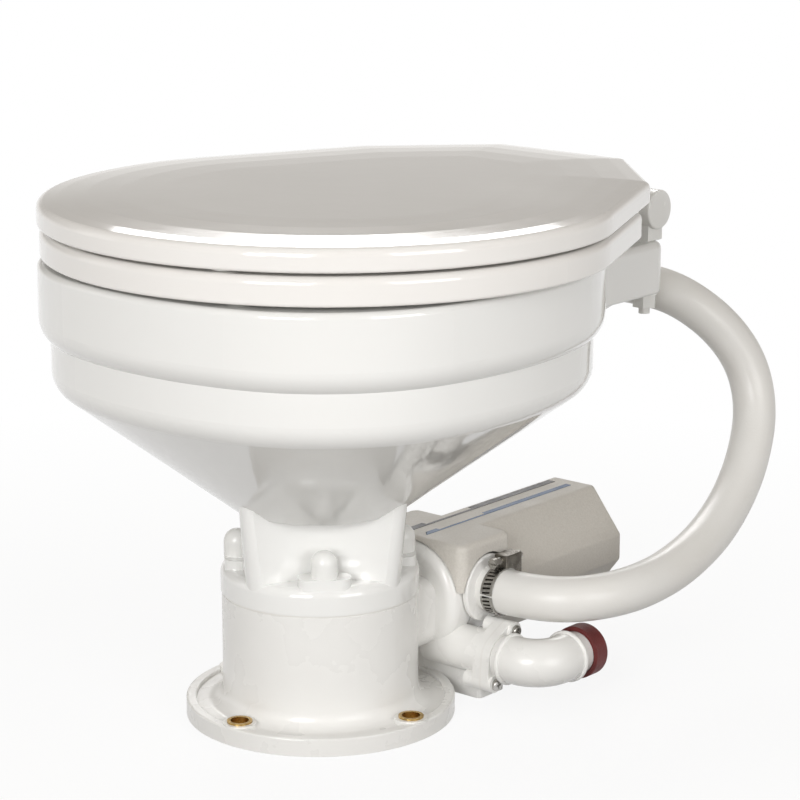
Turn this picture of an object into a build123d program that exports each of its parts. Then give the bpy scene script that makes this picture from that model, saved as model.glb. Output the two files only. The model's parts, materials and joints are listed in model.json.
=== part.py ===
# Electric marine toilet: round base with a macerator pump behind it, ceramic bowl, seat and lid.
# Origin at the centre of the base on the floor, +Z up, nose of the bowl towards -Y, motor towards +Y.
import math
import os

from build123d import *

# Shared clearances and counts
CUT = 2.0
SLIP = 0.3
RUN = 0.05
FOUR = 4
DIAGONAL = 45
QUARTER = 90

# Levels of the stack, from the floor up
GASKET_H = 1.6
JOINT_Z = 86.6
DRUM_TOP_Z = JOINT_Z - GASKET_H
RING_TOP_Z = 104.0
CONE_FOOT_Z = 146.0
BODY_Z = 230.0
BODY_TOP_Z = 266.0
RIM_Z = 257.0
RIM_TOP_Z = 310.0
DECK_Z = 252.0
DECK_TOP_Z = 289.0
SEAT_GAP = 3.0
SEAT_H = 18.0
LID_GAP = 2.5
LID_H = 18.0
SEAT_Z = RIM_TOP_Z + SEAT_GAP
SEAT_TOP_Z = SEAT_Z + SEAT_H
LID_Z = SEAT_TOP_Z + LID_GAP

# Base casting
FLANGE_R = 90.3
FLANGE_H = 9.5
BEAD_H = 2.5
BEAD_W = 7.0
DRUM_R = 65.5
DRUM_WALL = 9.0
DRUM_FLOOR = 8.0
DRUM_FILLET = 10.0
BOLT_PCD_R = 79.2
BUSH_R = 8.3
BUSH_BORE_R = 6.0
BUSH_H = 14.1
BOSS_R = 11.0
BOSS_TOP = 13.0
STUD_PCD_R = 55.0
STUD_BOSS_R = 9.0
STUD_BOSS_H = 42.0
STUD_R = 3.0
STUD_HOLE_R = 4.0
STUD_DEPTH = 24.0
STUD_TOP_Z = 119.0

# Pump axis, parallel to Y, behind the drum
PUMP_X = 22.0
PUMP_Z = 67.5
STACK_R = 38.5
VOLUTE_Y = 66.8
VOLUTE_L = 20.0
VOLUTE_FRONT_T = 5.0
VOLUTE_ROUND = 8.0
SADDLE_CORNER = 12.0
CHAMBER_R = 31.5
THROAT_R = 14.0
SADDLE_HALF = 23.0
SADDLE_Z0 = 36.0
SADDLE_Z1 = 83.0
SADDLE_Y = 40.0
FOOT_X0 = 4.0
FOOT_X1 = 71.0
FOOT_Y0 = 82.5
FOOT_Y1 = 110.0
FOOT_H = 34.0
FOOT_EDGE = 3.0
CRADLE_R = 40.0
PLATE_T = 1.6
PLATE_Y = VOLUTE_Y + VOLUTE_L
INTAKE_Y = PLATE_Y + PLATE_T
INTAKE_L = 22.0
INTAKE_BORE_R = 30.0
END_PLATE_Y = INTAKE_Y + INTAKE_L
END_PLATE_T = 6.0
MOTOR_Y = END_PLATE_Y + END_PLATE_T
PUMP_SCREW_PCD_R = 35.0
PUMP_SCREW_R = 1.7
PUMP_SCREW_HEAD_R = 3.0
PUMP_SCREW_HEAD_H = 3.0
PUMP_SCREW_DEPTH = 12.0
SEAL_GROOVE_R0 = 30.8
SEAL_GROOVE_R1 = 32.8
SEAL_GROOVE_D = 1.4

# Discharge neck and elbow
NECK_Y = 83.0
NECK_Z = 34.5
NECK_R = 15.5
NECK_X0 = 30.0
INNER_BORE_Y = 78.5
INNER_BORE_R = 6.6
OUTER_BORE_X = 60.0
ELBOW_BORE_R = 11.0
FLANGE_X = 83.0
NECK_FLANGE_T = 6.0
ELBOW_GASKET_T = 1.5
ELBOW_FLANGE_T = 6.0
EAR_DY = 10.6
EAR_DZ = 16.2
EAR_R = 6.0
EAR_BOSS_BACK = 14.0
EAR_BOSS_PROUD = 2.0
ELBOW_R = 14.5
ELBOW_BODY_R = 16.2
ELBOW_BEND_R = 20.0
ELBOW_RUN = 18.0
ELBOW_END_Y = 132.0
BEAD_RING_R = 17.8
BEAD_RING_W = 3.2
BEAD_RING_ROUND = 1.4
ELBOW_BEAD_GAP = 5.0
ELBOW_BEAD_Y = 110.0
ELBOW_SCREW_R = 2.2
ELBOW_SCREW_HEAD_R = 4.0
ELBOW_SCREW_HEAD_H = 2.8
ELBOW_SCREW_DEPTH = 14.0
SCREW_SLOT_W = 1.0
SCREW_SLOT_D = 1.2
CROSS_L = 4.6
PLUG_R = 18.0
PLUG_Y = 122.0
PLUG_L = 14.0
PLUG_END_T = 3.0
PLUG_ROUND = 3.5
VALVE_FLANGE_R = 10.7
VALVE_FLANGE_T = 2.0
VALVE_R = 9.2
VALVE_L = 15.0
VALVE_LIP_H = 3.0
VALVE_WALL = 1.2

# Motor
CAN_R = 36.0
CAN_WALL = 2.0
CAN_L = 104.0
BELL_T = 7.0
CAP_T = 9.0
SHAFT_R = 4.0
SHAFT_Y0 = 50.0
BEARING_R = 11.0
BEARING_T = 5.5
MAGNET_R = 28.5
MAGNET_L = 62.0
MAGNET_Y = 135.0
MAGNET_GAP_ANGLE = 25
CORE_R = 26.0
CORE_L = 52.0
CORE_Y = 140.0
CORE_SLOTS = 12
SLOT_W = 3.4
SLOT_D = 7.0
WIRE_W = 2.8
WINDING_R = 21.5
WINDING_L = 8.0
COMMUTATOR_R = 12.0
COMMUTATOR_L = 14.0
COMMUTATOR_Y = 203.0
GROOVE_W = 0.8
GROOVE_D = 1.2
HOLDER_R = 33.6
HOLDER_BORE_R = 16.0
HOLDER_T = 3.0
HOLDER_Y = 214.5
BRUSH_W = 6.0
BRUSH_L = 10.0
BRUSH_WALL = 1.5
TIE_R = 2.2
TIE_PCD_R = 31.0
TIE_HEAD_R = 4.2
TIE_HEAD_H = 3.0
TIE_DEPTH = 4.0

# Motor cover
COVER_WALL = 2.4
BLOCK_WALL = 2.5
COVER_TOP_Z = 109.0
BLOCK_HALF = 43.2
BLOCK_Y0 = 70.6
BLOCK_Y1 = 124.0
BLOCK_Z = 76.0
BLOCK_ROUND = 7.0
BODY_HALF_W = 42.5
BODY_HALF_H = 41.5
BODY_FLAT_HALF = 17.5
BODY_SIDE_HALF = 9.5
BODY_Y0 = 120.0
BODY_Y1 = 255.0
BODY_EDGE = 4.0
COVER_EDGE = 4.0
PORT_ARCH_R = 25.0
INLET_ARCH_R = 13.0
VOLUTE_FIT = 0.6
GROMMET_R = 7.0
GROMMET_NECK_R = 5.0
GROMMET_BORE_R = 3.5
GROMMET_T = 1.6
GROMMET_X = 38.0
GROMMET_Z = 44.0
COVER_SCREW_R = 1.8
COVER_SCREW_HEAD_R = 3.6
COVER_SCREW_HEAD_H = 2.4
COVER_SCREW_PCD_R = 26.0
COVER_SCREW_DEPTH = 6.0

# Intake ports
PORT_Y = 98.5
PORT_Z = 74.5
PORT_NECK_HALF = 13.0
PORT_NECK_X = 61.0
COLLAR_X = 65.5
COLLAR_R = 23.5
COLLAR_ROUND = 1.5
PORT_BORE_R = 6.0
SPIGOT_BORE_R = 9.5
SPIGOT_R = 12.4
SPIGOT_L = 19.0
INLET_PIN_R = 9.5
INLET_PIN_BORE_R = 6.5
INLET_PIN_X = -50.0

# Fill hose and its clamp
HOSE_R = 15.5
HOSE_BORE_R = 12.5
RADIUS_SHARE = 0.45
CLAMP_X = 71.0
CLAMP_W = 9.5
CLAMP_T = 1.0
CLAMP_BOX_W = 11.0
CLAMP_BOX_L = 17.0
CLAMP_BOX_H = 8.5
CLAMP_BOX_SHIFT = 8.0
CLAMP_SCREW_R = 3.0
CLAMP_SCREW_L = 25.0
CLAMP_HEAD_R = 4.0
CLAMP_HEAD_L = 5.0
CLAMP_SLOTS = 18
CLAMP_SLOT_STEP = 12
CLAMP_SLOT_START = 150
CLAMP_SLOT_W = 1.4
CLAMP_SLOT_L = 6.0

# Water inlet of the bowl
INLET_X = 4.0
INLET_Z = 250.0
INLET_BOSS_R = 19.0
INLET_BOSS_Y = 150.0
INLET_BORE_R = 12.0
SEAL_SLEEVE_R = 10.0
SEAL_SLEEVE_L = 16.0
SEAL_LIP_R = 15.5
SEAL_LIP_T = 1.5
INLET_TUBE_R = 9.9
INLET_TUBE_BORE_R = 7.5
INLET_BODY_R = 14.5
INLET_BEND_R = 18.0
INLET_COLLAR_T = 3.0
HOSE_END_X = 26.0
INLET_SPIGOT_L = 11.0

# Bowl
NECK_HALF = 50.0
NECK_TOP_HALF = 54.5
NECK_CORNER = 13.0
NECK_TOP_CORNER = 8.0
NECK_Z0 = 92.0
NECK_Z1 = 158.0
RING_R = 66.3
RING_ROUND = 6.0
PAD_W = 34.6
PAD_D = 17.0
PAD_CORNER = 8.0
PAD_Z = 94.0
PAD_TOP_Z = 110.0
HOLLOW_R = 85.0
HOLLOW_MID_R = 41.0
HOLLOW_TOP_Z = 170.0
CONE_FOOT_R = 60.0
BODY_HALF = 168.0
BODY_STRETCH = 84.0
BODY_TURN = 15.2
BODY_Y = 5.0
BODY_ROUND = 18.0
BAND_PROUD = 7.0
BAND_HALF = BODY_HALF + BAND_PROUD
BAND_STRETCH = BODY_STRETCH + BAND_PROUD / 2
BAND_ROUND = 17.0
RIM_ROUND = 4.0
DECK_HALF = 78.0
DECK_LAP = 30.0
DECK_Y0 = BODY_Y + BAND_HALF - DECK_LAP
DECK_Y1 = 286.0
DECK_CORNER = 14.0
DECK_ROUND = 5.0
FLARE_RIM = (100.0, 157.0)
FLARE_MID = (84.0, 173.0)
FLARE_DECK = (78.0, 195.0)
GUSSET_TOP_HALF = 72.0
GUSSET_TOP_Y = 256.0
GUSSET_TOP_Z = 255.0
GUSSET_LOW_HALF = 66.0
GUSSET_LOW_Y = 176.0
GUSSET_LOW_Z = 234.0
GUSSET_FRONT_Y = 140.0
GUSSET_CORNER = 10.0
BASIN_WALL = 12.0
BASIN_HALF = BODY_HALF - BASIN_WALL
BASIN_STRETCH = BODY_STRETCH - BASIN_WALL / 2
BASIN_TAPER = 8.0
BASIN_LOW_HALF = BASIN_HALF - BASIN_TAPER
BASIN_LOW_STRETCH = BASIN_STRETCH - BASIN_TAPER / 2
BASIN_LOW_Z = 226.0
MOUTH_LEDGE_X = 32.0
MOUTH_LEDGE_Y = 8.0
MOUTH_HALF_X = BASIN_HALF - MOUTH_LEDGE_X
MOUTH_HALF_Y = BASIN_HALF - MOUTH_LEDGE_Y
MOUTH_Y = 20.0
MOUTH_Z = 282.0
SUMP_R = 46.0
SUMP_Z = 160.0
OUTLET_R = 31.0
OUTLET_Z = 142.0

# Outline that lid and seat share: nose, shoulder, side and hip arcs, a straight taper, a cut corner
NOSE_Y = -175.2
NOSE_R = 194.0
NOSE_TURN = 30
SHOULDER_R = 185.0
SHOULDER_TURN = 56
SIDE_R = 280.0
SIDE_TURN = 4
HIP_R = 156.0
HIP_TURN = 24
REAR_Y = 262.5
REAR_HALF = 56.0
REAR_CORNER = 6.0
WAIST_SHARE = 0.58
REAR_SHARE = 0.41
LID_WAIST_Y = 190.0
SEAT_WAIST_Y = 172.0
SEAT_REAR_Y = 260.5
SEAT_INSET = 1.5
SEAT_HOLE_HALF_X = 118.0
SEAT_HOLE_HALF_Y = 150.0
SEAT_HOLE_Y = 20.0
SEAT_ROUND = 5.0
SEAT_BOTTOM_ROUND = 2.0
LID_EDGE_H = 14.5
LID_CROWN = [(0.0, 0.0), (14.0, 1.4), (32.0, 2.5), (54.0, 3.2), (80.0, 3.5)]
LID_ROUND = 5.0
LID_BOTTOM_ROUND = 2.0

# Bumpers
BUMPER_R = 7.0
BUMPER_SEAT_H = 2.7
BUMPER_LID_H = 2.2
BUMPER_PEG_R = 2.0
BUMPER_PEG_L = 6.0
SEAT_BUMPERS = [(60.0, -138.0), (136.0, 90.0)]
LID_BUMPERS = [(60.0, -150.0), (136.0, 120.0)]

# Hinge
HINGE_Y = 277.0
HINGE_Z = 312.0
PIN_R = 4.0
PIN_HALF = 71.0
BARREL_R = 11.0
POST_X0 = 56.0
POST_W = 16.0
POST_D = 17.0
POST_HEAD_R = 14.0
HINGE_CAP_T = 4.0
HINGE_CAP_ROUND = 1.5
SEAT_LUG_X0 = 42.5
LID_LUG_X0 = 29.0
LUG_T = 13.0
SEAT_LEAF_REACH = 35.0
SEAT_LEAF_DROP = 6.0
ARM_FRONT = 17.0
ARM_BACK = 12.0
LID_LEAF_REACH = 39.0
LID_LEAF_T = 5.0
LEAF_FIT = 0.3
LEAF_SCREW_R = 1.8
LEAF_SCREW_HEAD_R = 3.4
LEAF_SCREW_HEAD_H = 1.8
LID_SCREW_CUT = 1.0
LEAF_SCREW_L = 12.0
LEAF_SCREW_Y = [-23.5, -31.5]
HINGE_BOLT_R = 4.0
HINGE_BOLT_Z0 = 236.0
HINGE_BOLT_Z1 = 297.0
HINGE_NUT_R = 9.0
HINGE_NUT_H = 9.0
HINGE_WASHER_R = 9.0
HINGE_WASHER_T = 2.0

# Stud hardware under the bowl
WASHER_R = 7.0
WASHER_T = 1.2
NUT_R = 5.8
NUT_H = 5.0
NUT_CAP_R = 8.7
NUT_CAP_BORE_R = 7.3
NUT_CAP_H = 9.0
HEX = 6

# Pump rotor
BLADE_L = 24.0
BLADE_W = 8.0
BLADE_T = 2.4
BLADE_Y = 57.0
BLADE_HUB_R = 6.5
BLADE_HUB_L = 10.0
BLADE_TIP_H = 5.0
BLADE_NUT_L = 4.0
IMPELLER_R = 29.0
IMPELLER_Y = 74.0
IMPELLER_L = 11.0
IMPELLER_DISC_T = 3.0
IMPELLER_HUB_R = 8.0
IMPELLER_VANES = 6
VANE_T = 3.0
FLEX_R = 27.5
FLEX_HUB_R = 11.0
FLEX_VANES = 8
FLEX_TIP_R = 2.2
FLEX_MARGIN = 1.0
SEAL_R = 8.0
SEAL_T = 4.0

# Fill hose centreline, from the pump port round behind the bowl to the inlet elbow
HOSE_ROUTE = [
    (COLLAR_X, PORT_Y, PORT_Z),
    (96.5, PORT_Y, PORT_Z),
    (127.0, 109.0, 75.5),
    (144.5, 139.0, 76.5),
    (147.5, 178.0, 77.5),
    (144.5, 219.0, 82.0),
    (138.5, 260.0, 91.0),
    (131.0, 298.0, 107.0),
    (123.5, 328.0, 130.0),
    (116.0, 347.5, 160.0),
    (106.0, 349.5, 192.0),
    (92.0, 336.0, 220.0),
    (72.0, 316.0, 242.0),
    (48.0, 306.0, INLET_Z),
    (HOSE_END_X, 306.0, INLET_Z),
]


def level(height, y=0):
    return Plane(origin=(0, y, height))


def pump_plane(y):
    return Plane(origin=(PUMP_X, y, PUMP_Z), x_dir=(1, 0, 0), z_dir=(0, 1, 0))


def side_plane(x, y, z):
    return Plane(origin=(x, y, z), x_dir=(0, 1, 0), z_dir=(1, 0, 0))


def back_plane(x, y, z):
    return Plane(origin=(x, y, z), x_dir=(1, 0, 0), z_dir=(0, 1, 0))


def seat_outline(plane, inset, waist_y, rear_y):
    waist = waist_y - inset * WAIST_SHARE
    corner = (REAR_HALF - inset * REAR_SHARE, rear_y - inset)
    with BuildSketch(plane) as shape:
        with BuildLine():
            nose = JernArc((0, NOSE_Y + inset), (1, 0), NOSE_R - inset, NOSE_TURN)
            shoulder = JernArc(nose @ 1, nose % 1, SHOULDER_R - inset, SHOULDER_TURN)
            side = JernArc(shoulder @ 1, shoulder % 1, SIDE_R - inset, SIDE_TURN)
            hip = JernArc(side @ 1, side % 1, HIP_R - inset, HIP_TURN)
            reach = (waist - (hip @ 1).Y) / (hip % 1).Y
            taper = Line(hip @ 1, hip @ 1 + (hip % 1) * reach)
            Line(taper @ 1, corner)
            mirror(about=Plane.YZ)
            Line(corner, (-corner[0], corner[1]))
        make_face()
        rear_points = [point for point in shape.vertices() if point.Y > waist - CUT]
        fillet(rear_points, REAR_CORNER)
    return shape.sketch


def octet(plane, half, stretch):
    side_r = half + stretch
    turn = math.radians(BODY_TURN)
    corner_r = side_r - stretch / (math.cos(turn) - math.sin(turn))
    with BuildSketch(plane) as shape:
        with BuildLine():
            first = JernArc((half, 0), (0, 1), side_r, BODY_TURN)
            corner = JernArc(first @ 1, first % 1, corner_r, QUARTER - BODY_TURN - BODY_TURN)
            JernArc(corner @ 1, corner % 1, side_r, BODY_TURN)
            mirror(about=Plane.YZ)
            mirror(about=Plane.XZ)
        make_face()
    return shape.sketch


def disc_y(y, length, outer_r, inner_r=0, x=PUMP_X, z=PUMP_Z):
    with BuildPart() as piece:
        with BuildSketch(back_plane(x, y, z)):
            Circle(outer_r)
            if inner_r > 0:
                Circle(inner_r, mode=Mode.SUBTRACT)
        extrude(amount=length)
    return piece.part


def disc_z(x, y, z, length, outer_r, inner_r=0):
    with BuildPart() as piece:
        with BuildSketch(Plane(origin=(x, y, z))):
            Circle(outer_r)
            if inner_r > 0:
                Circle(inner_r, mode=Mode.SUBTRACT)
        extrude(amount=length)
    return piece.part


def disc_x(x, y, z, length, outer_r, inner_r=0):
    with BuildPart() as piece:
        with BuildSketch(side_plane(x, y, z)):
            Circle(outer_r)
            if inner_r > 0:
                Circle(inner_r, mode=Mode.SUBTRACT)
        extrude(amount=length)
    return piece.part


def diagonal_spots(radius):
    spots = []
    for index in range(FOUR):
        angle = math.radians(DIAGONAL + index * QUARTER)
        spots.append((radius * math.cos(angle), radius * math.sin(angle)))
    return spots


def pump_spots(radius, start):
    spots = []
    for index in range(FOUR):
        angle = math.radians(start + index * QUARTER)
        spots.append((radius * math.cos(angle), radius * math.sin(angle)))
    return spots


STUD_SPOTS = diagonal_spots(STUD_PCD_R)
os.makedirs("parts", exist_ok=True)


# Base casting: flange, drum, volute, cradle foot and discharge neck in one piece
with BuildPart() as base_casting:
    with BuildSketch(Plane.XY):
        Circle(FLANGE_R)
    extrude(amount=FLANGE_H)
    with BuildSketch(level(FLANGE_H)):
        Circle(FLANGE_R)
        Circle(FLANGE_R - BEAD_W, mode=Mode.SUBTRACT)
    extrude(amount=BEAD_H)
    fillet(base_casting.edges().group_by(Axis.Z)[-1], BEAD_H / 2)
    with BuildSketch(Plane.XY):
        Circle(DRUM_R)
    extrude(amount=DRUM_TOP_Z)
    foot_ring = [
        edge for edge in base_casting.edges().filter_by(GeomType.CIRCLE)
        if abs(edge.radius - DRUM_R) < RUN and abs(edge.center().Z - FLANGE_H) < RUN
    ]
    fillet(foot_ring, DRUM_FILLET)
    with BuildSketch(Plane.XY):
        with PolarLocations(BOLT_PCD_R, FOUR):
            Circle(BOSS_R)
    extrude(amount=BOSS_TOP)
    with BuildSketch(pump_plane(VOLUTE_Y)):
        Circle(STACK_R)
    extrude(amount=VOLUTE_L)
    volute_rim = [
        edge for edge in base_casting.edges().filter_by(GeomType.CIRCLE)
        if abs(edge.radius - STACK_R) < RUN and abs(edge.center().Y - VOLUTE_Y) < RUN
    ]
    fillet(volute_rim, VOLUTE_ROUND)
    with BuildSketch(back_plane(PUMP_X, SADDLE_Y, (SADDLE_Z0 + SADDLE_Z1) / 2)):
        RectangleRounded(SADDLE_HALF + SADDLE_HALF, SADDLE_Z1 - SADDLE_Z0, SADDLE_CORNER)
    extrude(amount=VOLUTE_Y + VOLUTE_ROUND + CUT - SADDLE_Y)
    with BuildSketch(Plane.XY):
        with Locations(((FOOT_X0 + FOOT_X1) / 2, (FOOT_Y0 + FOOT_Y1) / 2)):
            RectangleRounded(FOOT_X1 - FOOT_X0, FOOT_Y1 - FOOT_Y0, FOOT_EDGE)
    extrude(amount=FOOT_H)
    with BuildSketch(Plane.XY):
        with Locations((PUMP_X, (DRUM_R + FOOT_Y1) / 2)):
            Rectangle(FOOT_H, FOOT_Y1 - DRUM_R)
    extrude(amount=FLANGE_H)
    with BuildSketch(side_plane(NECK_X0, NECK_Y, NECK_Z)):
        Circle(NECK_R)
    extrude(amount=FLANGE_X - NECK_X0)
    with BuildSketch(side_plane(FLANGE_X - NECK_FLANGE_T, NECK_Y, NECK_Z)):
        Circle(NECK_R)
        with Locations((EAR_DY, EAR_DZ), (-EAR_DY, -EAR_DZ)):
            Circle(EAR_R)
        make_hull()
    extrude(amount=NECK_FLANGE_T)
    with BuildSketch(side_plane(FLANGE_X - EAR_BOSS_BACK, NECK_Y, NECK_Z)):
        with Locations((EAR_DY, EAR_DZ), (-EAR_DY, -EAR_DZ)):
            Circle(EAR_R)
    extrude(amount=EAR_BOSS_BACK)
    add(disc_y(PLATE_Y, FOOT_Y1 - PLATE_Y + CUT, CRADLE_R), mode=Mode.SUBTRACT)
    with BuildSketch(level(DRUM_FLOOR)):
        Circle(DRUM_R - DRUM_WALL)
    extrude(amount=DRUM_TOP_Z, mode=Mode.SUBTRACT)
    with BuildSketch(level(DRUM_TOP_Z - STUD_BOSS_H)):
        with Locations(STUD_SPOTS):
            Circle(STUD_BOSS_R)
    extrude(amount=STUD_BOSS_H)
    with BuildSketch(level(DRUM_TOP_Z)):
        with Locations(STUD_SPOTS):
            Circle(STUD_R + RUN)
    extrude(amount=-STUD_DEPTH - CUT, mode=Mode.SUBTRACT)
    with BuildSketch(Plane.XY):
        with PolarLocations(BOLT_PCD_R, FOUR):
            Circle(BUSH_R + RUN)
    extrude(amount=BUSH_H + BOSS_R, mode=Mode.SUBTRACT)
    with BuildSketch(pump_plane(VOLUTE_Y + VOLUTE_FRONT_T)):
        Circle(CHAMBER_R)
    extrude(amount=VOLUTE_L, mode=Mode.SUBTRACT)
    with BuildSketch(pump_plane(SADDLE_Y - CUT)):
        Circle(THROAT_R)
    extrude(amount=VOLUTE_Y + VOLUTE_FRONT_T - SADDLE_Y + CUT + CUT, mode=Mode.SUBTRACT)
    with BuildSketch(side_plane(NECK_X0, INNER_BORE_Y, NECK_Z)):
        Circle(INNER_BORE_R)
    extrude(amount=OUTER_BORE_X - NECK_X0 + CUT, mode=Mode.SUBTRACT)
    with BuildSketch(side_plane(OUTER_BORE_X, NECK_Y, NECK_Z)):
        Circle(ELBOW_BORE_R)
    extrude(amount=FLANGE_X - OUTER_BORE_X + CUT, mode=Mode.SUBTRACT)
    with BuildSketch(side_plane(FLANGE_X, NECK_Y, NECK_Z)):
        with Locations((EAR_DY, EAR_DZ), (-EAR_DY, -EAR_DZ)):
            Circle(ELBOW_SCREW_R + RUN)
    extrude(amount=-ELBOW_SCREW_DEPTH, mode=Mode.SUBTRACT)
    with BuildSketch(pump_plane(PLATE_Y)):
        with Locations(pump_spots(PUMP_SCREW_PCD_R, DIAGONAL)):
            Circle(PUMP_SCREW_R + RUN)
    extrude(amount=-PUMP_SCREW_DEPTH, mode=Mode.SUBTRACT)
print("base casting", round(base_casting.part.volume), len(base_casting.part.solids()))

with BuildPart() as mount_bushes:
    with BuildSketch(Plane.XY):
        with PolarLocations(BOLT_PCD_R, FOUR):
            Circle(BUSH_R)
            Circle(BUSH_BORE_R, mode=Mode.SUBTRACT)
    extrude(amount=BUSH_H)

with BuildPart() as bowl_gasket:
    with BuildSketch(level(DRUM_TOP_Z)):
        Circle(DRUM_R - SLIP)
        Circle(DRUM_R - DRUM_WALL + SLIP, mode=Mode.SUBTRACT)
        with Locations(STUD_SPOTS):
            Circle(STUD_BOSS_R)
        with Locations(STUD_SPOTS):
            Circle(STUD_HOLE_R, mode=Mode.SUBTRACT)
    extrude(amount=GASKET_H)

# Bowl: bolt ring, hollow-sided square neck, cone, body band, rim band and deck round one open basin
with BuildPart() as bowl:
    with BuildSketch(level(JOINT_Z)):
        Circle(RING_R)
    extrude(amount=RING_TOP_Z - JOINT_Z)
    fillet(bowl.edges().group_by(Axis.Z)[-1], RING_ROUND)
    with BuildSketch(level(NECK_Z0)):
        RectangleRounded(NECK_HALF + NECK_HALF, NECK_HALF + NECK_HALF, NECK_CORNER, DIAGONAL)
    with BuildSketch(level(NECK_Z1)):
        RectangleRounded(
            NECK_TOP_HALF + NECK_TOP_HALF, NECK_TOP_HALF + NECK_TOP_HALF, NECK_TOP_CORNER, DIAGONAL
        )
    loft()
    with BuildSketch(level(RING_TOP_Z)):
        with PolarLocations(HOLLOW_MID_R + HOLLOW_R, FOUR, DIAGONAL):
            Circle(HOLLOW_R)
    extrude(amount=HOLLOW_TOP_Z - RING_TOP_Z, mode=Mode.SUBTRACT)
    with BuildSketch(level(PAD_Z)):
        with PolarLocations(STUD_PCD_R, FOUR, DIAGONAL):
            RectangleRounded(PAD_D, PAD_W, PAD_CORNER)
    extrude(amount=PAD_TOP_Z - PAD_Z)
    loft([octet(level(CONE_FOOT_Z), CONE_FOOT_R, 0), octet(level(BODY_Z, BODY_Y), BODY_HALF, BODY_STRETCH)],
         ruled=True)
    extrude(octet(level(BODY_Z, BODY_Y), BODY_HALF, BODY_STRETCH), amount=BODY_TOP_Z - BODY_Z)
    shoulder_edges = [
        edge for edge in bowl.edges()
        if abs(edge.center().Z - BODY_Z) < RUN and abs((edge @ 0).Z - BODY_Z) < RUN
    ]
    fillet(shoulder_edges, BODY_ROUND)
print("bowl lower", round(bowl.part.volume), len(bowl.part.solids()))

with BuildPart() as rim_band:
    extrude(octet(level(RIM_Z, BODY_Y), BAND_HALF, BAND_STRETCH), amount=RIM_TOP_Z - RIM_Z)
    fillet(rim_band.edges().group_by(Axis.Z)[0], BAND_ROUND)
    fillet(rim_band.edges().group_by(Axis.Z)[-1], RIM_ROUND)

with BuildPart() as deck:
    with BuildSketch(level(DECK_Z)):
        with Locations((0, (DECK_Y0 + DECK_Y1) / 2)):
            RectangleRounded(DECK_HALF + DECK_HALF, DECK_Y1 - DECK_Y0, DECK_CORNER)
        with BuildLine():
            flare = ThreePointArc(FLARE_RIM, FLARE_MID, FLARE_DECK)
            Line(flare @ 0, (0, FLARE_RIM[1]))
            Line(flare @ 1, (0, FLARE_DECK[1]))
            mirror(about=Plane.YZ)
        make_face()
    extrude(amount=DECK_TOP_Z - DECK_Z)
    fillet(deck.edges().group_by(Axis.Z)[-1], DECK_ROUND)
    fillet(deck.edges().group_by(Axis.Z)[0], DECK_ROUND / 2)

with BuildPart() as gusset:
    with BuildSketch(level(GUSSET_TOP_Z)):
        with Locations((0, (GUSSET_TOP_Y + GUSSET_FRONT_Y) / 2)):
            RectangleRounded(
                GUSSET_TOP_HALF + GUSSET_TOP_HALF, GUSSET_TOP_Y - GUSSET_FRONT_Y, GUSSET_CORNER
            )
    with BuildSketch(level(GUSSET_LOW_Z)):
        with Locations((0, (GUSSET_LOW_Y + GUSSET_FRONT_Y) / 2)):
            RectangleRounded(
                GUSSET_LOW_HALF + GUSSET_LOW_HALF, GUSSET_LOW_Y - GUSSET_FRONT_Y, GUSSET_CORNER
            )
    loft()

with BuildPart() as basin:
    loft([octet(level(BASIN_LOW_Z, BODY_Y), BASIN_LOW_HALF, BASIN_LOW_STRETCH),
          octet(level(MOUTH_Z, BODY_Y), BASIN_HALF, BASIN_STRETCH)], ruled=True)
    loft([octet(level(SUMP_Z), SUMP_R, 0),
          octet(level(BASIN_LOW_Z, BODY_Y), BASIN_LOW_HALF, BASIN_LOW_STRETCH)], ruled=True)
    with BuildSketch(level(OUTLET_Z)):
        Circle(OUTLET_R)
    with BuildSketch(level(SUMP_Z)):
        Circle(SUMP_R)
    loft()
    with BuildSketch(level(JOINT_Z - CUT)):
        Circle(OUTLET_R)
    extrude(amount=OUTLET_Z - JOINT_Z + CUT)
    with BuildSketch(level(MOUTH_Z, MOUTH_Y)):
        Ellipse(MOUTH_HALF_X, MOUTH_HALF_Y)
    extrude(amount=RIM_TOP_Z - MOUTH_Z + CUT)

with BuildPart() as whole_bowl:
    add(bowl.part)
    add(rim_band.part)
    add(deck.part)
    add(gusset.part)
    add(disc_y(INLET_BOSS_Y, DECK_Y1 - INLET_BOSS_Y, INLET_BOSS_R, 0, INLET_X, INLET_Z))
    add(basin.part, mode=Mode.SUBTRACT)
    mouth_edges = whole_bowl.faces().sort_by(Axis.Z)[-1].inner_wires()[0].edges()
    fillet(mouth_edges, RIM_ROUND)
    add(disc_y(BASIN_LOW_HALF, DECK_Y1 - BASIN_LOW_HALF + CUT, INLET_BORE_R, 0, INLET_X, INLET_Z),
        mode=Mode.SUBTRACT)
    with BuildSketch(level(JOINT_Z - CUT)):
        with Locations(STUD_SPOTS):
            Circle(STUD_HOLE_R)
    extrude(amount=PAD_TOP_Z - JOINT_Z + CUT + CUT, mode=Mode.SUBTRACT)
    with BuildSketch(level(DECK_Z - CUT)):
        with Locations((POST_X0 + POST_W / 2, HINGE_Y), (-POST_X0 - POST_W / 2, HINGE_Y)):
            Circle(HINGE_BOLT_R + SLIP)
    extrude(amount=DECK_TOP_Z - DECK_Z + CUT + CUT, mode=Mode.SUBTRACT)
print("bowl", round(whole_bowl.part.volume), len(whole_bowl.part.solids()))


def lug_profile(plane, polygon):
    with BuildSketch(plane) as shape:
        Circle(BARREL_R)
        Polygon(*polygon, align=None)
        Circle(PIN_R + RUN, mode=Mode.SUBTRACT)
    return shape.sketch


def both_sides(part):
    return [part, mirror(part, about=Plane.YZ)]


def leaf_screw_spots(x0, rows):
    spots = []
    for row in rows:
        spots.append((x0 + LUG_T / 2, HINGE_Y + row))
        spots.append((-x0 - LUG_T / 2, HINGE_Y + row))
    return spots


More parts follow.
